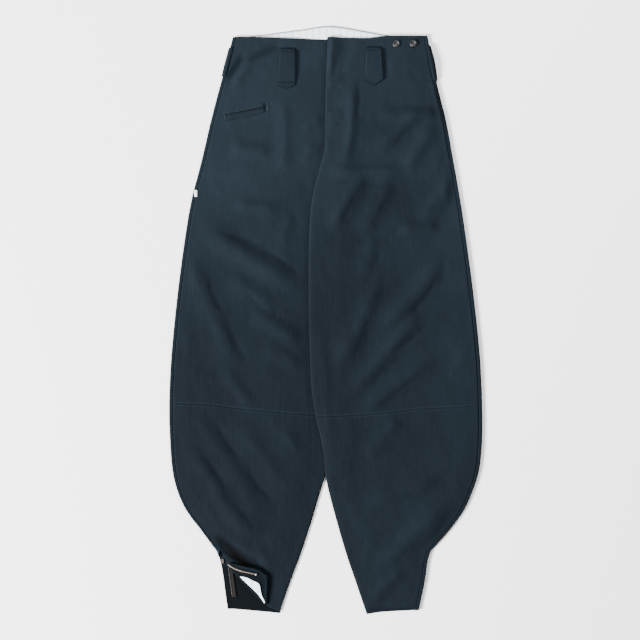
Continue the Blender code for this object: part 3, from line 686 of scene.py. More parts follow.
def noise_waves(seed, count, shortest, longest):
    """Sum of soft waves in the plane, from -1 to 1 or so, the same on every run."""
    draw = np.random.default_rng(seed)
    angle = draw.uniform(0, np.pi, count)
    pitch = draw.uniform(shortest, longest, count)
    phase = draw.uniform(0, 2 * np.pi, count)

    def height(x, y):
        total = 0.0
        for a, p, f in zip(angle, pitch, phase):
            total = total + np.sin((x * np.cos(a) + y * np.sin(a)) * 2 * np.pi / p + f)
        return total / math.sqrt(count)

    return height


wander = noise_waves(11, 22, 46, 130)
ripple = noise_waves(23, 20, 12, 34)


def right_seam(y):
    """Side edge of the right fronts. It leaves the outline where the zip is open."""
    return right_side(y) + SIDE_SEAM_INSET + SEAM_AT_ZIP[0] * smooth((WRAP_END - y) / SEAM_AT_ZIP[1])


def left_seam(y):
    """Side edge of the left fronts."""
    return left_side(y) - SIDE_SEAM_INSET


def right_front_inner(y):
    """Inner edge of the right fronts, which run on under the fly."""
    under = ramp((y - CROTCH_SEWN) / (UNDERLAP_END - CROTCH_SEWN))
    return right_inner(y) - GAP / 2 + UNDERLAP * under


def right_front_hem(x):
    """Lower edge of the right front: the turned fold, then the hem."""
    share = ramp((x - FOLD_TOP[0]) / (FOLD_END[0] - FOLD_TOP[0]))
    return np.where(x > FOLD_END[0], front_hem_right(x), between(FOLD_TOP[1], FOLD_END[1], share))


def folds(table, x, y):
    """Height of a table's folds."""
    total = 0.0
    for x0, y0, x1, y1, bow, width, rise in table:
        dx, dy = x1 - x0, y1 - y0
        length = math.hypot(dx, dy)
        t = ((x - x0) * dx + (y - y0) * dy) / length**2
        aside = ((y - y0) * dx - (x - x0) * dy) / length - bow * 4 * t * (1 - t)
        total = total + rise * smooth(t / FOLD_ENDS) * smooth((1 - t) / FOLD_ENDS) * hump(aside, width)
    return total


def rolled(distance, depth, reach=2.6):
    """How far an edge rolls down, by the distance to it."""
    return depth * (1 - ramp(distance / reach)) ** 2


def fading(distance, run):
    """1 at an edge, fading away from it."""
    return np.exp(-np.maximum(distance, 0) / run)


def puckers(along, distance, pitch, depth):
    """Small gathers of sewn cloth beside a seam."""
    beat = np.sin(2 * np.pi * along / pitch + 1.3 * np.sin(along / (2.3 * pitch)))
    return depth * beat * fading(distance, PUCKER_RUN)


def front_height(table, x, y, to_inner, to_side, below_waist, above_hem, base, knee):
    """Outer face of a front, and its wear, painted light and painted shade."""
    body = BODY_LOFT * between(HEM_SHARE, 1, smooth(above_hem / HEM_RUN))
    inside_edge = sum(share * smooth(to_inner / run) for share, run in INNER_RISE)
    stand = between(SIDE_LOFT, body, smooth(to_side / SIDE_RUN)) * inside_edge
    band = 1 - smooth((below_waist - WAIST_BAND[0]) / WAIST_BAND[1])
    stand = np.maximum(stand, WAIST_LIFT * band)
    fade = smooth(to_inner / FOLDS_FADE[0]) * smooth(to_side / FOLDS_FADE[1])
    raised = folds(table, x, y) + WANDER * wander(x, y) + RIPPLE * ripple(x, y)
    shaped = np.maximum(stand + fade * raised, np.minimum(stand, LEAST_LOFT))
    off_knee = np.abs(y - knee(x))
    edges = np.minimum(np.minimum(to_side, below_waist), above_hem)
    shaped = shaped + puckers(y, to_side, *SEAM_PUCKERS) + puckers(x, off_knee, *KNEE_PUCKERS)
    shaped = shaped - rolled(edges, EDGE_ROLL) - rolled(off_knee, *KNEE_ROLL)
    shaped = shaped - KNEE_GROOVE[0] * hump(off_knee, KNEE_GROOVE[1])
    # Painted light towards the waist, and wear along the edges and the knee seam.
    wear_and_painted_shading = paler(y) + EDGE_RUB[0] * fading(edges, EDGE_RUB[1]) + KNEE_RUB[0] * hump(off_knee, KNEE_RUB[1])
    # Soft patches of painted light and painted shade.
    for middle_x, middle_y, breadth, length, pale in LIGHT_AND_SHADE_PATCHES:
        wear_and_painted_shading = wear_and_painted_shading + pale * hump(x - middle_x, breadth) * hump(y - middle_y, length)
    return FRONT_UNDER + base + shaped + CLOTH, wear_and_painted_shading


def beside_split(y):
    """1 along the legs' open inner edges, below the split."""
    return ramp((SPLIT_CLEAR + 8 - y) / 20) * ramp((y - OPEN_EDGE_END) / 20)


def right_front(x, y):
    """Outer face of the right fronts, flat where the left leg covers them."""
    inner = np.minimum(left_inner(y) - UNDER_LEFT_LEG, right_front_inner(y)) - x
    z, wear_and_painted_shading = front_height(
        RIGHT_FOLDS + RIGHT_CREASES, x, y, inner, x - right_seam(y), waist_right(x) - y,
        y - hem_right(x), 0.0, knee_right,
    )
    own = right_front_inner(y) - x
    # Painted shade beside the left leg's edge and along the deep hollows.
    hollow_and_edge_shade = under_edge_shade(y) * fading(left_inner(y) - x, UNDER_EDGE_SHADE_RUN) + folds(HOLLOW_SHADE, x, y)
    return z + beside_split(y) * (puckers(y, own, *SPLIT_PUCKERS) - rolled(own, 0.5)), wear_and_painted_shading - hollow_and_edge_shade


def left_front(x, y):
    """Outer face of the left fronts, over the fly's underlap and over the right leg."""
    over = leg_step(y) + LEG_CLEARANCE * ramp((y - SPLIT_FLAT) / 20)
    over = np.where(y > CROTCH_CROSSED, np.maximum(over, FRONT_ON_FRONT), over)
    own = x - left_inner(y)
    z, wear_and_painted_shading = front_height(
        LEFT_FOLDS + LEFT_CREASES, x, y, own, left_seam(y) - x, waist_left(x) - y,
        y - hem_left(x), over * past_step(x, y), knee_left,
    )
    wear_and_painted_shading = wear_and_painted_shading + INNER_RUB[0] * ramp((CROTCH_CROSSED - y) / 60) * fading(own, INNER_RUB[1])
    return z + beside_split(y) * puckers(y, own, *SPLIT_PUCKERS) - rolled(own, 0.3), wear_and_painted_shading


def front(name, surface, edges, down):
    """One front, shaped over its plan."""
    x, y = plan(*edges, shares(down), shares(112))
    z, wear_and_painted_shading = surface(x, y)
    cloth(name, grid(x, y, z), SHELL, outside, wear_and_painted_shading)


def shifted(line, by):
    """A cross line moved up."""
    return lambda x: line(x) + by


for side, surface, waist, knee, hem, seam, inner, thigh_flat, areas, thigh_rests_on in (
    (
        "right", right_front, waist_right, knee_right, right_front_hem, right_seam, right_front_inner,
        (0.31, 0.70), (0.163, 0.075), ["back_right"],
    ),
    (
        "left", left_front, waist_left, knee_left, front_hem_left, left_seam, left_inner,
        (0.315, 0.70), (0.172, 0.079), ["back_left", "front_right_thigh"],
    ),
):
    front(
        f"front_{side}_thigh", surface, (waist, shifted(knee, KNEE_GAP / 2), seam, inner), 262,
    )
    front(
        f"front_{side}_shin", surface, (shifted(knee, -KNEE_GAP / 2), hem, seam, inner), 140,
    )

# Sewing of the panels.
# Polyester thread a shade lighter than the cloth: two rows along the knee seams, one along the
# waist, the fly, the pocket mouths and the hems, and close bar tacks where a seam carries load.

thread = twill("sewing_thread", (0.0085, 0.0145, 0.0210), (0.0190, 0.0300, 0.0415), (0.02, 0.03, 0.04), 0.2)
dark_thread = twill(
    "dark_thread", (0.0006, 0.0012, 0.0020), (0.0012, 0.0024, 0.0038), (0.002, 0.004, 0.006), 0.2,
)
STITCH = 2.9
STITCH_PITCH = 3.4
THREAD = 0.45
STITCH_LIFT = 0.12
TACK_PITCH = 0.5
# A stitch's taper: share of its length, breadth, height. Then the corners of each ring.
STITCH_SHAPE = ((0.0, 0.45, 0.45), (0.3, 1, 1), (0.7, 1, 1), (1.0, 0.45, 0.45))
STITCH_CORNERS = ((-1, 0), (0, 1), (1, 0), (0, -1))


def tube_faces(rings, sides):
    """Faces round a tube of rings of points, then those of its two ends."""
    faces = []
    for k in range(rings - 1):
        for j in range(sides):
            a, b = k * sides + j, k * sides + (j + 1) % sides
            faces.append((a, b, b + sides, a + sides))
    last = (rings - 1) * sides
    return faces + [tuple(range(sides))[::-1], tuple(range(last, last + sides))]


def blocks(name, starts, along, across, up, shape, corners):
    """Mesh of small blocks of one shape, each a run of rings along its own directions."""
    rings = []
    for place, breadth, height in shape:
        for side, rise in corners:
            rings.append(starts + along * place + across * side * breadth + up * rise * height)
    points = np.stack(rings, 1)
    faces = np.array(tube_faces(len(shape), len(corners)))
    faces = faces + points.shape[1] * np.arange(len(points))[:, None, None]
    return new_mesh(name, points, faces.reshape(-1, 4).tolist())


def unit(vectors):
    """Vectors with a length of 1."""
    return vectors / np.maximum(np.linalg.norm(vectors, axis=-1, keepdims=True), 1e-9)


def laid_on(surface, spots, lift):
    """Plan points laid on a surface."""
    return np.column_stack([spots, surface(spots[:, 0], spots[:, 1]) + lift])


def seam_row(path, surface):
    """Starts and ends of the stitches along a path of plan points on a surface."""
    path = np.asarray(path, float)
    lengths = np.concatenate([[0], np.cumsum(np.linalg.norm(np.diff(path, axis=0), axis=1))])
    at = np.arange(0.2, lengths[-1] - STITCH_PITCH, STITCH_PITCH)
    starts = np.stack([np.interp(at, lengths, path[:, k]) for k in range(2)], -1)
    ends = starts[:-1] + np.diff(starts, axis=0) * STITCH / STITCH_PITCH
    return laid_on(surface, starts[:-1], STITCH_LIFT), laid_on(surface, ends, STITCH_LIFT)


def bar_tack(middle, angle, length, width, surface, lift=0.2):
    """Close zigzag of thread across a short bar."""
    direction = np.array((math.cos(angle), math.sin(angle)))
    normal = np.array((-direction[1], direction[0]))
    places = length * (shares(int(length / TACK_PITCH)) - 0.5)
    line = np.asarray(middle, float) + np.outer(places, direction)
    return tuple(laid_on(surface, line + side * normal * width / 2, lift) for side in (-1, 1))


def sewn(name, rows, finish=thread):
    """One piece from rows of stitches, each a small bar with tapered ends."""
    starts, ends = (np.vstack(part) for part in zip(*rows))
    along = ends - starts
    across = unit(np.cross(unit(along), UP)) * THREAD / 2
    up = np.cross(across, unit(along))
    mesh = blocks(name, starts, along, across, up, STITCH_SHAPE, STITCH_CORNERS)
    mesh.shade_smooth()
    dressed(linked(name, mesh), finish)


def right_top(x, y):
    """Height of the right fronts."""
    return right_front(x, y)[0]


def left_top(x, y):
    """Height of the left fronts."""
    return left_front(x, y)[0]


def cross_path(line, start, end, below):
    """Path across the garment, a distance below a cross line."""
    x = np.linspace(start, end, 120)
    return np.column_stack([x, line(x) - below])


def down_path(edge, top, bottom, inside):
    """Path down the garment, a distance inside an edge."""
    y = np.linspace(top, bottom, 160)
    return np.column_stack([edge(y) + inside, y])


knee_rows = []
for below in (-2.4, 3.4):
    knee_rows.append(seam_row(cross_path(knee_right, -280, -24, below), right_top))
    knee_rows.append(seam_row(cross_path(knee_left, -14, 280, below), left_top))
sewn("knee_stitching", knee_rows)

FLY_ROW_END = 392
sewn("waist_and_fly_stitching", [
    seam_row(cross_path(waist_right, -162, -2, 3.2), right_top),
    seam_row(cross_path(waist_left, 6, 179, 3.2), left_top),
    seam_row(down_path(left_inner, 512, FLY_ROW_END, -9.5), right_top),
    seam_row(down_path(left_inner, 512, CROTCH_CROSSED + 20, 3.0), left_top),
])

POCKET_TOP = 431
POCKET_END = 291
sewn("side_stitching", [
    seam_row(down_path(right_seam, POCKET_TOP, POCKET_END, 5.5), right_top),
    seam_row(down_path(left_seam, POCKET_TOP, POCKET_END, -5.5), left_top),
    seam_row(down_path(left_seam, CUFF_TOP - 4, -518, -7.0), left_top),
    bar_tack((right_seam(POCKET_TOP) + 3, POCKET_TOP), 0.2, 6, 1.8, right_top),
    bar_tack((right_seam(POCKET_END) + 3, POCKET_END), 0.2, 6, 1.8, right_top),
    bar_tack((left_seam(POCKET_TOP) - 3, POCKET_TOP), -0.2, 6, 1.8, left_top),
    bar_tack((left_seam(POCKET_END) - 5, POCKET_END), -0.2, 9, 1.8, left_top),
])
sewn("hem_stitching", [
    seam_row(cross_path(front_hem_left, 80, 168, -9), left_top),
    seam_row(cross_path(front_hem_right, -104, -90, -6), right_top),
])

# Waist lining.
# White cotton with a faint blue stripe, sewn inside the back waist a little below its top edge.

LINING_ENDS = (-146, 119)
LINING_BELOW_EDGE = 1.3
LINING_HIDDEN = 14
LINING_SUNK = 0.25
THIN = 1.0
# The stripes: axis that they are spaced along, share of the pitch, how strong.
STRIPES = ((0, 0.24, 0.85), (1, 0.14, 0.4))


def stripe_group():
    """Stripes along the cloth, with fainter lines across them."""
    tree, given, out, coords, place = new_group(
        "faint_stripes", {"Ground": "Color", "Stripe": "Color", "Pitch": 0.012},
        {"Colour": "Color", "Height": 0.0},
    )
    bands = []
    for axis, share, weight in STRIPES:
        part = maths(tree, "FRACT", maths(tree, "DIVIDE", place[axis], given["Pitch"]))
        bands.append(maths(tree, "MULTIPLY", maths(tree, "LESS_THAN", part, share), weight))
    feed_all(out, {
        "Colour": blended(tree, maths(tree, "MAXIMUM", *bands), given["Ground"], given["Stripe"]),
        "Height": stretched_noise(tree, coords, (1400, 1400, 1400), 2.0),
    })
    return tree


faint_stripes = stripe_group()


def cotton(name, ground, stripe, pitch):
    """Thin plain cotton with a faint stripe."""
    made, tree, shader = new_material(name)
    stripes = add_node(
        tree, "ShaderNodeGroup", node_tree=faint_stripes, Ground=(*ground, 1), Stripe=(*stripe, 1),
        Pitch=pitch,
    )
    feed_all(shader, {
        "Base Color": stripes.outputs["Colour"], "Roughness": 0.85, "Specular IOR Level": 0.2,
        "Normal": raised_normal(tree, stripes.outputs["Height"], 0.3, 0.0002),
    })
    return made


lining_cotton = cotton("striped_lining", (0.76, 0.83, 0.87), (0.56, 0.65, 0.74), 0.0125)
across, down = np.meshgrid(shares(130), shares(20))
x = between(*LINING_ENDS, across)
front_edge = np.where(x < 2, waist_right(x), waist_left(x))
lining_top = waist_back(x) - LINING_BELOW_EDGE
y = between(lining_top, front_edge - LINING_HIDDEN, down)
z = FRONT_UNDER + THIN - LINING_SUNK + 0.12 * ripple(x, y)
cloth(
    "waist_lining", grid(x, y, z), 0.6, lining_cotton,
)
sewn("lining_stitching", [
    seam_row(
        cross_path(waist_back, -140, 113, LINING_BELOW_EDGE + 1.6),
        lambda x, y: 0 * x + FRONT_UNDER + THIN,
    ),
])

# Belt loops.
# Doubled strips of the same twill. The two on the fronts are wide, with a pointed end and a row of
# stitches round the edge, and they stand off the cloth between their sewn ends. The other two go
# round the side folds.

LOOP_WIDTHS = (28, 34.5)
LOOP_BULGE = 3.4
STRAP = 1.6
# Front loops: middle of the top, middle of the end, length of the point, where its lower end is
# sewn over the end, surface, node that it lies on, how dark the painted shade in its crease is.
FRONT_LOOPS = {
    "front_right_belt_loop": (-70.6, 499, -72.6, 431, 6, 6, right_top, "front_right_thigh", 0.7),
    "front_left_belt_loop": (87.2, 501.5, 89.0, 442, 11, -4, left_top, "front_left_thigh", 0.0),
}
# Shade at a loop's two sewn ends: how dark, how soon it fades.
LOOP_END_SHADE = ((0.5, 60), (0.5, 45))
LOOP_STITCH = 0.85
# Its rows of stitches: down it, at these shares of its half width, and across it, at these shares
# of its length.
LOOP_ROWS_DOWN = (-0.86, 0.86)
LOOP_ROWS_ACROSS = (0.035, 0.86, 0.95)
# How it leaves the cloth: share of its length at the top, then the first and the full rise above
# its sewn end. How far its middle is crowned, and how far its edges roll down.
LOOP_RISE = (0.14, 3, 40)
LOOP_CROWN = (0.35, 0.5)
# Side loops: outline, side, top, bottom, how far it stands off, node that it lies on.
SIDE_LOOPS = {
    "side_right_belt_loop": (right_side, -1, 501, 449, 0.4, "back_right"),
    "side_left_belt_loop": (left_side, 1, 505, 441, 2.6, "back_left"),
}
# Its end on the front: length, then share of the length and how far it drops there.
SIDE_LOOP_TOP = 3.8
SIDE_LOOP_END = ((1.0, 1.6), (0.66, 0.6), (0.33, 0.1))


def loop_surface(place, surface, share, across):
    """Point on a front loop's outer face: share of the way down it, and from -1 to 1 across."""
    top_x, top_y, end_x, end_y, tip, sewn_length = place
    middle = between(top_x, end_x, share)
    x = middle + between(*LOOP_WIDTHS, share) / 2 * across
    y = between(top_y, end_y - tip * (1 - np.abs(across)), share)
    above_sewn = y - end_y - sewn_length
    bulge = LOOP_BULGE * smooth(share / LOOP_RISE[0]) * smooth(above_sewn / LOOP_RISE[1])
    bulge = bulge * between(0.4, 1, smooth(above_sewn / LOOP_RISE[2]))
    under = np.maximum(surface(x, y), 0.5 * (surface(x, y) + surface(middle, y)))
    crown = LOOP_CROWN[0] * (1 - across**2) - LOOP_CROWN[1] * np.abs(across) ** 8
    return grid(x, y, under + GAP + STRAP + bulge + crown)


for name, (*place, surface, node, crease_shade) in FRONT_LOOPS.items():
    share, wide = np.meshgrid(shares(60), np.linspace(-1, 1, 29), indexing="ij")
    points = loop_surface(place, surface, share, wide)
    # Painted light from PALER, less painted shade in the crease and at the sewn ends.
    shade = crease_shade * hump(points[..., 1] - place[3] - place[5], 1.3)
    for (dark, soon), off_end in zip(LOOP_END_SHADE, (share, 1 - share)):
        shade = shade + dark * np.exp(-off_end * soon)
    cloth(name, points, 1.4, outside, 0.8 * PALER - shade)
    down, across = np.linspace(0.03, 0.93, 24), np.linspace(-0.84, 0.84, 10)
    lines = [(down, side) for side in LOOP_ROWS_DOWN]
    lines += [(level, across) for level in LOOP_ROWS_ACROSS]
    rows = []
    for share, wide in lines:
        spots = loop_surface(place, surface, share, wide) + 0.1 * UP
        rows.append((spots[:-1], spots[:-1] + LOOP_STITCH * np.diff(spots, axis=0)))
    sewn(name + "_stitching", rows)

for name, (side, sign, top, bottom, stands, node) in SIDE_LOOPS.items():
    share = shares(40)[:, None]
    y = between(top, bottom, share)
    radius = SIDE_BEND + 2 * GAP + STRAP + stands * np.sin(np.pi * share)
    centre = side(y) - sign * SIDE_BEND
    angle = np.pi / 2 * (1 - shares(14))
    x = [centre - sign * SIDE_LOOP_TOP * out for out, drop in SIDE_LOOP_END]
    z = [SIDE_BEND + radius - drop for out, drop in SIDE_LOOP_END]
    x = np.hstack([*x, centre + sign * radius * np.cos(angle), centre + sign * radius])
    z = np.hstack([*z, SIDE_BEND + radius * np.sin(angle), 0 * y + 0.1])
    column = np.arange(x.shape[1])
    # Painted light on the right loop's inner part; painted shade towards the left loop's outer edge.
    wear_and_painted_shading = PALER + 0.15 * (column < 4) if sign < 0 else -0.6 * smooth((column - 4) / 6)
    cloth(name, grid(x, y, z), 1.4, outside, wear_and_painted_shading)

# Waist buttons.
# Two ring buttons of dark plated metal set through the left front, with a rolled rim round a
# sunken middle.

BUTTONS = {"waist_button_inner": (129.5, 507.5), "waist_button_outer": (160.5, 507.8)}
# The sunken face: radius, depth below the top. The rim: radius of its middle, half breadth, height.
# The foot: radius, height over the base.
BUTTON_FACE = ((0.0, 1.35), (2.0, 1.45), (2.9, 1.3), (3.4, 0.7))
BUTTON_RIM = (4.9, 1.55, 0.95)
BUTTON_EDGE = 6.5
BUTTON_FOOT = ((6.3, 0.3), (5.6, 0.05), (0.0, 0.05))
SUNKEN_RADIUS = 3.0
BUTTON_STEPS = 48


def plated(name, colour, deep, roughness):
    """Plated metal, duller and darker in its scuffs, and painted near-black for shade where a mesh marks
    its sunken middle.
    """
    made, tree, shader = new_material(name)
    coords = add_node(tree, "ShaderNodeTexCoord").outputs["Object"]
    scuff = stretched_noise(tree, coords, (900, 900, 900), 4.0)
    face = blended(tree, scuff, (*colour, 1), (*deep, 1))
    sunken = add_node(tree, "ShaderNodeAttribute", attribute_name="sunken").outputs["Fac"]
    feed_all(shader, {
        "Base Color": blended(tree, sunken, face, (0.002, 0.002, 0.003, 1)), "Metallic": 1.0,
        "Roughness": weighted(tree, roughness, (scuff, 0.25)),
        "Normal": raised_normal(tree, scuff, 0.15, 0.0002),
    })
    return made


def face_outward(mesh, join=None):
    """Joins points that meet, where asked, and turns every face outward."""
    work = bmesh.new()
    work.from_mesh(mesh)
    if join:
        bmesh.ops.remove_doubles(work, verts=work.verts, dist=join)
    bmesh.ops.recalc_face_normals(work, faces=work.faces)
    work.to_mesh(mesh)
    work.free()


gunmetal = plated("dark_plated_metal", (0.060, 0.060, 0.064), (0.024, 0.024, 0.026), 0.3)
for name, (x, y) in BUTTONS.items():
    low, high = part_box(name)
    base, top = low[2] / MM, high[2] / MM
    middle = (base + top) / 2
    profile = [(radius, top - depth) for radius, depth in BUTTON_FACE]
    for turn in math.pi * (1 - shares(9)):
        radius = BUTTON_RIM[0] + BUTTON_RIM[1] * math.cos(turn)
        profile.append((radius, top - BUTTON_RIM[2] * (1 - math.sin(turn))))
    profile += [(BUTTON_EDGE, middle)] + [(radius, base + rise) for radius, rise in BUTTON_FOOT]
    radius, up = np.array(profile).T[:, :, None]
    ring = 2 * np.pi * np.arange(BUTTON_STEPS) / BUTTON_STEPS
    points = grid(x + radius * np.cos(ring), y + radius * np.sin(ring), up)
    mesh = new_mesh(name, points, tube_faces(len(profile), BUTTON_STEPS)[:-2])
    # Painted shade: the button's sunken middle is painted near-black.
    sunken = (radius + 0 * ring < SUNKEN_RADIUS) & (up > middle)
    sunken = sunken.ravel().astype(np.float32)
    mesh.attributes.new("sunken", "FLOAT", "POINT").data.foreach_set("value", sunken)
    face_outward(mesh, join=0.00002)
    mesh.shade_smooth()
    dressed(linked(name + "_metal", mesh), gunmetal, name)

# Coin pocket.
# A slanted welt pocket in the right front: a narrow folded welt under a mouth darkened with painted
# shade, with a bar tack at each end.

WELT = (-187, 377.5, -113, 392.5)
WELT_DEPTH = 13
WELT_RISE = 1.25
# How far the welt's lower part drops, from which share of its depth and over which.
WELT_DROP = (1.05, 0.55, 0.45)
share, depth = np.meshgrid(shares(70), shares(16))
x = between(WELT[0], WELT[2], share)
y = between(WELT[1], WELT[3], share) - WELT_DEPTH * depth
edge = np.minimum(np.minimum(depth, 1 - depth) * WELT_DEPTH, np.minimum(share, 1 - share) * 75)
mouth = depth * WELT_DEPTH
z = right_top(x, y) + WELT_RISE - WELT_DROP[0] * smooth((depth - WELT_DROP[1]) / WELT_DROP[2])
z = z - rolled(edge, 0.3, 1.5) - rolled(mouth, 0.9, 2.4)
# Painted light away from the mouth; painted shade in the welt's mouth and along its lower edge.
shade = 0.6 * hump(mouth, 2.0) * smooth(share / 0.6) + 0.2 * hump(mouth - 12.5, 1.2)
cloth(
    "coin_pocket_welt", grid(x, y, z), 0.9, outside,
    PALER * smooth(mouth / 5) - shade,
)


def welt_top(x, y):
    """Height of the welt's face."""
    return right_top(x, y) + 1.2


slant = math.atan2(WELT[3] - WELT[1], WELT[2] - WELT[0])
ends = np.array(WELT).reshape(2, 2)
sewn("coin_pocket_stitching", [
    bar_tack(ends[0] + (1.5, -3), slant + math.pi / 2, 8, 2.0, welt_top, 0.3),
    bar_tack(ends[1] + (6.0, 0.5), slant + math.pi / 2, 14, 5.0, right_top, 0.2),
    seam_row(ends + (0, 3.2), right_top),
])
sewn("coin_pocket_end_tack", [
    bar_tack(ends[1] + (-1.0, 1.0), slant + math.pi / 2, 9, 3.4, welt_top, 0.4),
], finish=dark_thread)

# Side label.
# A short blank tab of white woven tape caught in the right side seam.

low, high = (np.array(corner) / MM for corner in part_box("side_label"))
label_tape = cotton("label_tape", (0.80, 0.81, 0.80), (0.74, 0.75, 0.75), 0.0011)
wide, tall = np.meshgrid(shares(12), shares(24))
x, y = between(low[0], high[0], wide), between(high[1], low[1], tall)
z = high[2] - 0.35 + 0.3 * np.sin(np.pi * tall) * (1 - wide)
cloth("side_label", grid(x, y, z), 0.5, label_tape)

# Right cuff, turned back.
# The corner of the front's cuff is folded up over the front, so its inside shows: twill facing
# along the zip and the hem, and a leaf of white lining between them.

ROLL = 2.4
ROLL_ANGLE = math.radians(173)
FLAP = ((4, 5), (20, 15), (36, 26), (50, 35), (62, 38.5), (71, 37.5), (84, 26), (95, 13.5), (106, 3))
LEAF = (
    (37, 2.0, 3.2), (46, 2.0, 9.6), (58, 2.6, 14.4), (71, 3.6, 18.3), (79, 3.6, 13.2), (88, 2.8, 7.6),
    (97, 1.6, 4.4), (103, 0.8, 2.2),
)
FLAP_LONGEST = 38.5
FLAP_DROOP = 2.8
# Painted shade on the roll, and on the flap away from its edge: how dark.
TURNBACK_SHADE = (-0.35, -0.45)
FLAP_SAG = 0.5
LEAF_LIFT = 0.75
LEAF_WAVES = 0.18
inside = twill(
    "twill_inside", (0.0010, 0.0024, 0.0038), (0.0034, 0.0068, 0.0104), (0.0100, 0.0180, 0.0280), 0.6,
)
fold_down = unit(np.array(FOLD_END) - np.array(FOLD_TOP))
fold_over = np.array((-fold_down[1], fold_down[0]))


def from_fold(along, out, up):
    """Point by its distance down the fold, out from it and up from the front's inner face."""
    x, y = (FOLD_TOP[k] + along * fold_down[k] for k in range(2))
    inner_face = right_top(x + 3 * fold_over[0], y + 3 * fold_over[1]) - CLOTH
    return grid(x - (out + GAP) * fold_over[0], y - (out + GAP) * fold_over[1], inner_face + up)


def on_flap(along, reach, lift):
    """Point over the flap's face: down the fold, out from the roll, and lifted off the cloth."""
    out = ROLL * math.sin(ROLL_ANGLE) + reach * math.cos(ROLL_ANGLE) + lift * math.sin(ROLL_ANGLE)
    up = ROLL * (1 - math.cos(ROLL_ANGLE)) + reach * math.sin(ROLL_ANGLE)
    droop = FLAP_DROOP * (reach / FLAP_LONGEST) ** 2
    return from_fold(along, out, up - droop - lift * math.cos(ROLL_ANGLE))


flap_reach = curve(*FLAP)
leaf_lower = curve(*[row[:2] for row in LEAF])
leaf_upper = curve(*[row[::2] for row in LEAF])
along = np.linspace(FLAP[0][0], FLAP[-1][0], 90)[:, None]
turned = ROLL_ANGLE * shares(17)
roll = from_fold(along, ROLL * np.sin(turned), ROLL * (1 - np.cos(turned)))
share = shares(40)[1:]
reach = flap_reach(along) * share
sag = -FLAP_SAG * np.sin(np.pi * share) * smooth(along / 30)
to_edge = flap_reach(along) - reach
flap = on_flap(along, reach, sag - rolled(to_edge, 0.3, 2.0))
# Painted shade on the roll and on the flap away from its edge.
wear_and_painted_shading = np.hstack([
    TURNBACK_SHADE[0] + 0 * turned + 0 * along, TURNBACK_SHADE[1] * smooth((to_edge - 5) / 5),
])
cloth(
    "right_cuff_turnback", np.concatenate([roll, flap], 1), SHELL, inside,
    wear_and_painted_shading, -UP,
)
along = np.linspace(LEAF[0][0], LEAF[-1][0], 70)[:, None]
reach = between(leaf_lower(along), leaf_upper(along), shares(18))
leaf = on_flap(along, reach, GAP + LEAF_LIFT + LEAF_WAVES * np.sin(along / 5.0 + reach / 3.0))
cloth(
    "right_cuff_lining", leaf, 0.6, lining_cotton,
)

# Zip of the right cuff.
# Metal teeth clamped on two woven tapes: one on the turned corner, one on the back. It is open,
# with its slider at the top and an end stop on the front tape.

FRONT_ZIP = ((5.5, 0.5), (10, 1.2), (21, 5), (33, 11.5), (43, 18.5), (52, 24.5))
TAPE = 4.0
BACK_ZIP = ((-455, -175.5), (-472, -173.5), (-490, -171), (-509, -168.5))
BACK_TAPE = 8.0
TOOTH = (1.25, 1.25, 0.9)
TOOTH_PITCH = 2.05
FRONT_TEETH = 24
BACK_TEETH_ASIDE = 3.4
TOOTH_LIFT = 0.75
TAPE_LIFT = 0.7
# A tooth's shape: place across the tape, breadth, height. Then the corners of each ring.
TOOTH_SHAPE = (
    (-1, 1.0, 1), (-0.55, 1.0, 1), (-0.55, 1.25, 1), (0.2, 1.25, 1), (0.45, 0.8, 0.8), (1, 0.7, 0.8),
)
TOOTH_CORNERS = ((-1, 0), (1, 0), (1, 1), (-1, 1))
STOP_SIZE = (3.2, 2.8, 1.9)
# The slider: how far its ends narrow, how narrow it is between its plates, its rounded edge.
SLIDER_NARROWS = 0.3
SLIDER_WAIST = 0.62
SLIDER_EDGE = 0.25
front_tape = cotton("navy_zip_tape", (0.0035, 0.0050, 0.0065), (0.0060, 0.0080, 0.0100), 0.0012)
back_tape = cotton("brown_zip_tape", (0.0052, 0.0042, 0.0042), (0.0036, 0.0031, 0.0032), 0.0012)
zip_metal = plated("zip_brass", (0.96, 0.80, 0.68), (0.72, 0.58, 0.48), 0.28)
# A darker, rougher copy of the zip brass: painted shade for the back teeth and the slider in the open cuff.
dull_shaded_brass = plated("dull_zip_brass_in_shade", (0.16, 0.135, 0.13), (0.09, 0.075, 0.07), 0.4)
front_zip, back_zip = curve(*FRONT_ZIP), curve(*BACK_ZIP)

along = np.linspace(FRONT_ZIP[0][0], FRONT_ZIP[-1][0], 60)[:, None]
tape = on_flap(along, front_zip(along) + TAPE * shares(8), GAP + TAPE_LIFT)
cloth(
    "zip_tape_front", tape, 0.55, front_tape,
)
y = np.linspace(BACK_ZIP[0][0], BACK_ZIP[-1][0], 60)[:, None]
tape = grid(back_zip(y) + BACK_TAPE * (shares(10) - 0.5), y, FRONT_UNDER + TAPE_LIFT)
cloth("zip_tape_back", tape, 0.55, back_tape)


def teeth(name, middles, way, ups, metal):
    """Row of clamped teeth, as small shaped blocks across the tape's edge."""
    run = way * unit(np.gradient(middles, axis=0))
    across = np.cross(ups, run) * TOOTH[1] / 2
    mesh = blocks(
        name, middles, across, run * TOOTH[0] / 2.5, ups * TOOTH[2], TOOTH_SHAPE, TOOTH_CORNERS,
    )
    face_outward(mesh)
    dressed(linked(name, mesh), metal)


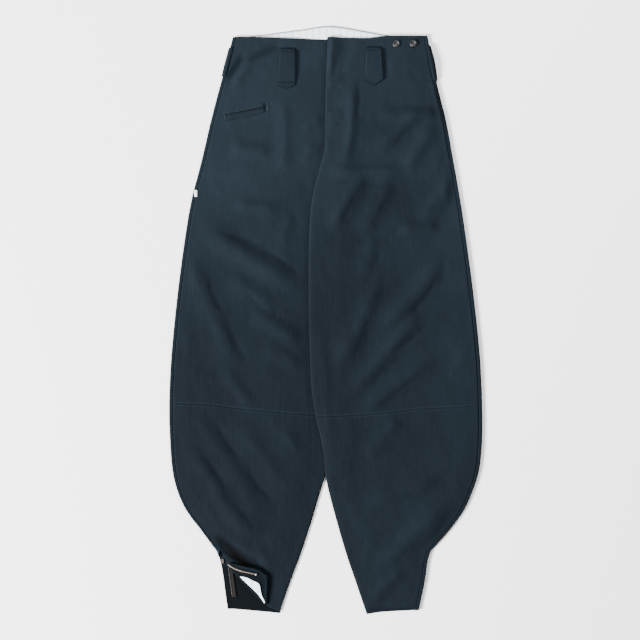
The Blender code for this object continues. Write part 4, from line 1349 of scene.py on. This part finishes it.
along = np.linspace(FRONT_ZIP[0][0] + 0.8, FRONT_ZIP[-1][0] - 0.8, FRONT_TEETH)
ups = unit(on_flap(along, front_zip(along), 1.0) - on_flap(along, front_zip(along), 0.0))
teeth("zip_teeth_front", on_flap(along, front_zip(along) + 0.6, GAP + TOOTH_LIFT), 1, ups, zip_metal)
y = np.arange(BACK_ZIP[0][0] - 0.8, BACK_ZIP[-1][0] + 0.8, -TOOTH_PITCH)
middles = grid(back_zip(y) - BACK_TEETH_ASIDE, y, FRONT_UNDER + TOOTH_LIFT)
teeth("zip_teeth_back", middles, -1, UP + 0 * middles, dull_shaded_brass)

low, high = (np.array(corner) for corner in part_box("zip_slider"))
middle, size = (low + high) / 2, high - low
bpy.ops.mesh.primitive_cube_add(size=1, location=middle)
slider = bpy.context.object
slider.name = "zip_slider_body"
work = bmesh.new()
work.from_mesh(slider.data)
bmesh.ops.subdivide_edges(work, edges=work.edges, cuts=3, use_grid_fill=True)
for vertex in work.verts:
    narrow = 1 - SLIDER_NARROWS * (vertex.co.y * 2) ** 2
    waist = SLIDER_WAIST if abs(vertex.co.z) < 0.2 and abs(vertex.co.x) > 0.3 else 1.0
    vertex.co.x *= size[0] * narrow * waist
    vertex.co.y *= size[1]
    vertex.co.z *= size[2]
work.to_mesh(slider.data)
work.free()
edges = slider.modifiers.new("edges", "BEVEL")
edges.width = SLIDER_EDGE * MM
edges.segments = 2
dressed(slider, dull_shaded_brass, "zip_slider")

spot = on_flap(FRONT_ZIP[-1][0] + 1.6, FRONT_ZIP[-1][1] + 2.0, STOP_SIZE[2])
bpy.ops.mesh.primitive_uv_sphere_add(segments=20, ring_count=12, radius=0.5, location=spot * MM)
stop = bpy.context.object
stop.name = "zip_end_stop"
stop.scale = np.array(STOP_SIZE) * MM
stop.data.shade_smooth()
dressed(stop, plated("bright_zip_stop", (0.92, 0.88, 0.84), (0.75, 0.71, 0.67), 0.3))

# Floor, light and camera.
# A plain pale floor, a broad soft light from the left and the foot of the garment, a fill from
# the upper right, and a long lens looking straight down.

CAMERA_HEIGHT = 3.6
VIEW_WIDTH = 1.1776
VIEW_MIDDLE = (-0.0106, 0.0004)

bpy.ops.mesh.primitive_plane_add(size=12, location=(0, 0, -0.0005))
floor = bpy.context.object
floor.name = "floor"
paper, _, shader = new_material("pale_floor")
feed_all(shader, {"Base Color": (0.97, 0.97, 0.97, 1), "Roughness": 0.9})
floor.data.materials.append(paper)


def lamp(name, place, target, size, power):
    """Square area light aimed at a point."""
    light = bpy.data.lights.new(name, "AREA")
    light.energy = power
    light.size = size
    made = linked(name, light)
    made.location = place
    made.rotation_euler = (Vector(target) - Vector(place)).to_track_quat("-Z", "Y").to_euler()


lamp("key", (-4.4, -1.8, 2.5), (0, 0, 0), 1.7, 1850)
lamp("fill", (0.7, 1.6, 1.7), (0, 0.2, 0), 0.8, 70)
world = bpy.data.worlds.new("studio")
world.use_nodes = True
feed_all(world.node_tree.nodes["Background"], {"Color": (1, 1, 1, 1), "Strength": 0.45})
bpy.context.scene.world = world

lens = bpy.data.cameras.new("camera")
lens.sensor_width = 36
lens.lens = lens.sensor_width * CAMERA_HEIGHT / VIEW_WIDTH
lens.clip_end = 50
camera = linked("camera", lens)
camera.location = (*VIEW_MIDDLE, CAMERA_HEIGHT)
bpy.context.scene.camera = camera
